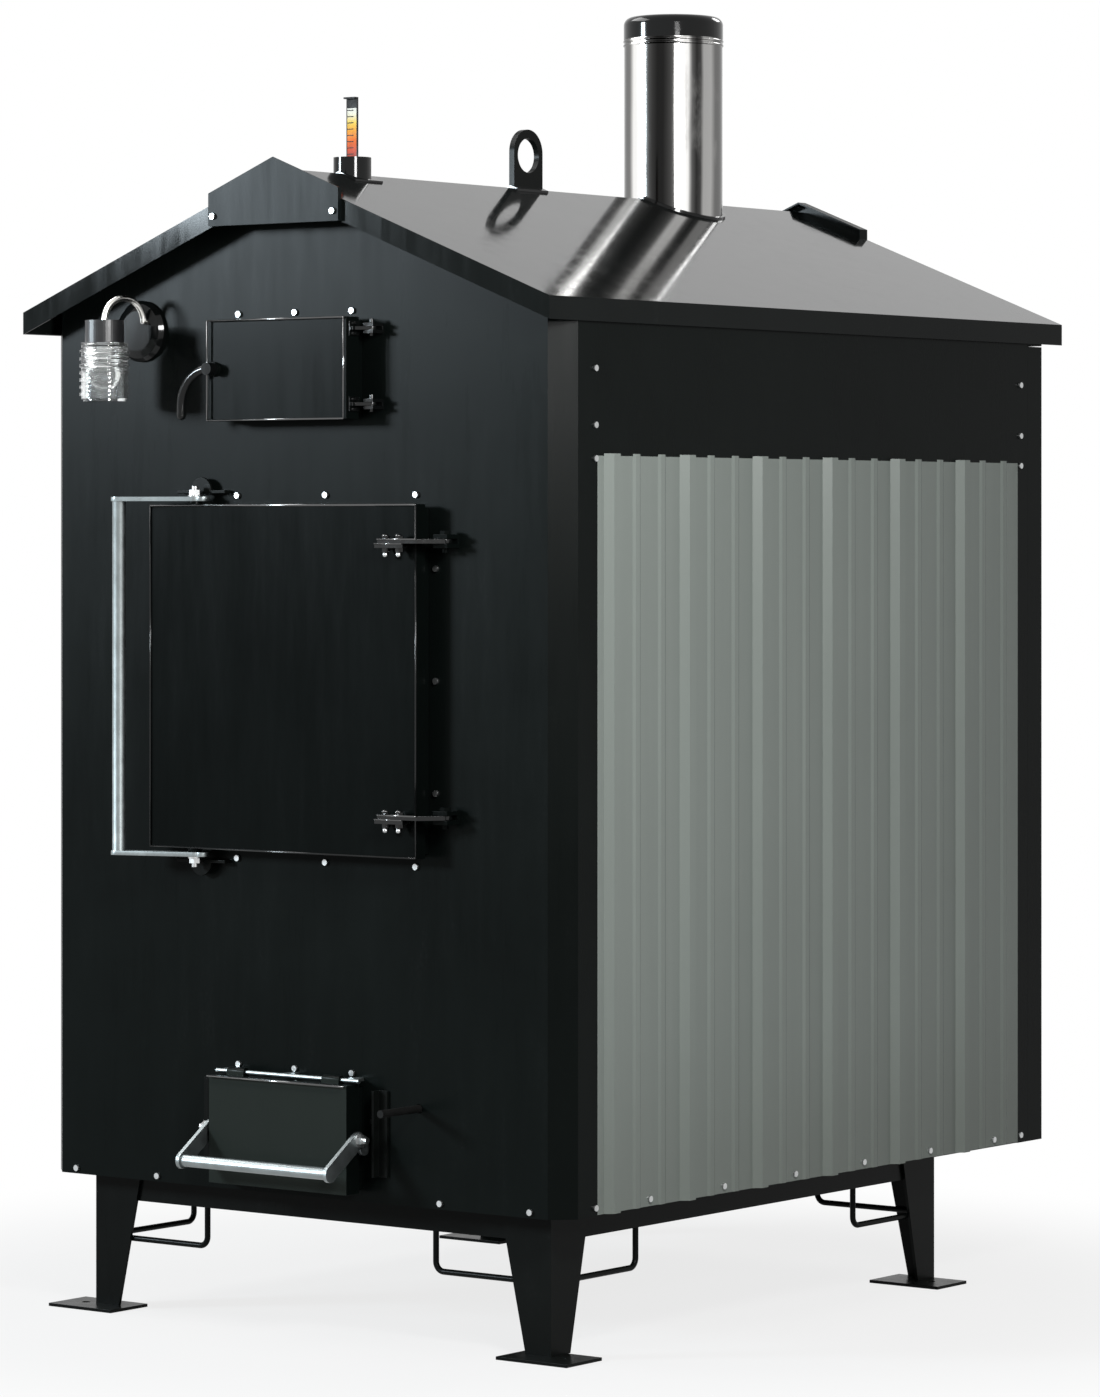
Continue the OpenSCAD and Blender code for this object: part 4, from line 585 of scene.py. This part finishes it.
# Stage ----------------------------------------------------------------------------
def floor():
    """A pale floor, mostly white to the camera and in mirrors, and wholly so away from the legs."""
    size, below = 30.0, 0.0005
    near, far, near_white = 0.95, 2.0, 0.80  # metres from the middle, and the white's share near it
    mesh = bmesh.new()
    bmesh.ops.create_grid(mesh, x_segments=1, y_segments=1, size=size)
    data = bpy.data.meshes.new("floor")
    mesh.to_mesh(data)
    mesh.free()
    ground = bpy.data.objects.new("floor", data)
    ground.location = (0, 0, -below)
    bpy.context.scene.collection.objects.link(ground)
    m = Mat("floor_pale")
    m.put("Base Color", m.ramp(m.noise(0.6), [(0.3, (0.37,) * 3), (0.7, (0.41,) * 3)]))
    m.put("Roughness", 0.9)
    m.put("Specular IOR Level", 0.05)
    reach = m.node("ShaderNodeVectorMath", operation="LENGTH")
    m.feed(reach.inputs[0], m.place)
    share = m.range(reach.outputs["Value"], near, far, near_white, 1.0, smooth=True)
    white = m.node("ShaderNodeEmission")
    m.feed(white.inputs["Color"], (1, 1, 1))
    both = m.node("ShaderNodeMixShader")
    m.feed(both.inputs[0], m.math("MULTIPLY", m.seen(), share))
    m.feed(both.inputs[1], m.shader.outputs[0])
    m.feed(both.inputs[2], white.outputs[0])
    m.feed(m.output.inputs[0], both.outputs[0])
    data.materials.append(m.material)


def studio():
    """A surround that looks white, also in mirrors, but lights matt surfaces by a tenth of that."""
    world = bpy.data.worlds.new("studio")
    bpy.context.scene.world = world
    world.use_nodes = True
    t = Tree(world.node_tree)
    background = t.node("ShaderNodeBackground")
    t.feed(background.inputs["Color"], (1, 1, 1))
    t.feed(background.inputs["Strength"], t.range(t.seen(), 0, 1, 0.10, 1.0))
    t.feed(t.node("ShaderNodeOutputWorld").inputs[0], background.outputs[0])


WHITE, COLD = (1, 1, 1), (0.80, 0.92, 1.0)
LAMPS = {
    # name: place, what it looks at, width and height, watts, colour
    "key": ((-5.25, -6.1, 3.1), (0, -0.65, 1.9), (1.3, 1.3), 780, COLD),
    "side": ((2.4, -1.9, 2.45), (0.6, 0.0, 1.2), (0.6, 0.6), 86, WHITE),
    "ribs": ((4.0, -3.1, 2.05), (0.61, 0.1, 1.5), (0.4, 0.4), 50, WHITE),
    "top": ((-2.44, -1.1, 4.4), (0, -0.7, 1.5), (3.4, 1.5), 140, WHITE),
    "back": ((0.8, 5.6, 5.0), (0, 0.6, 1.4), (2.0, 2.0), 170, WHITE),
}

floor()
studio()
for name, (place, at, size, watts, colour) in LAMPS.items():
    data = bpy.data.lights.new(name, "AREA")
    data.shape = "RECTANGLE"
    data.size, data.size_y = size
    data.energy = watts
    data.color = colour
    lamp = bpy.data.objects.new(name, data)
    lamp.location = place
    lamp.rotation_euler = (Vector(at) - Vector(place)).to_track_quat("-Z", "Y").to_euler()
    bpy.context.scene.collection.objects.link(lamp)
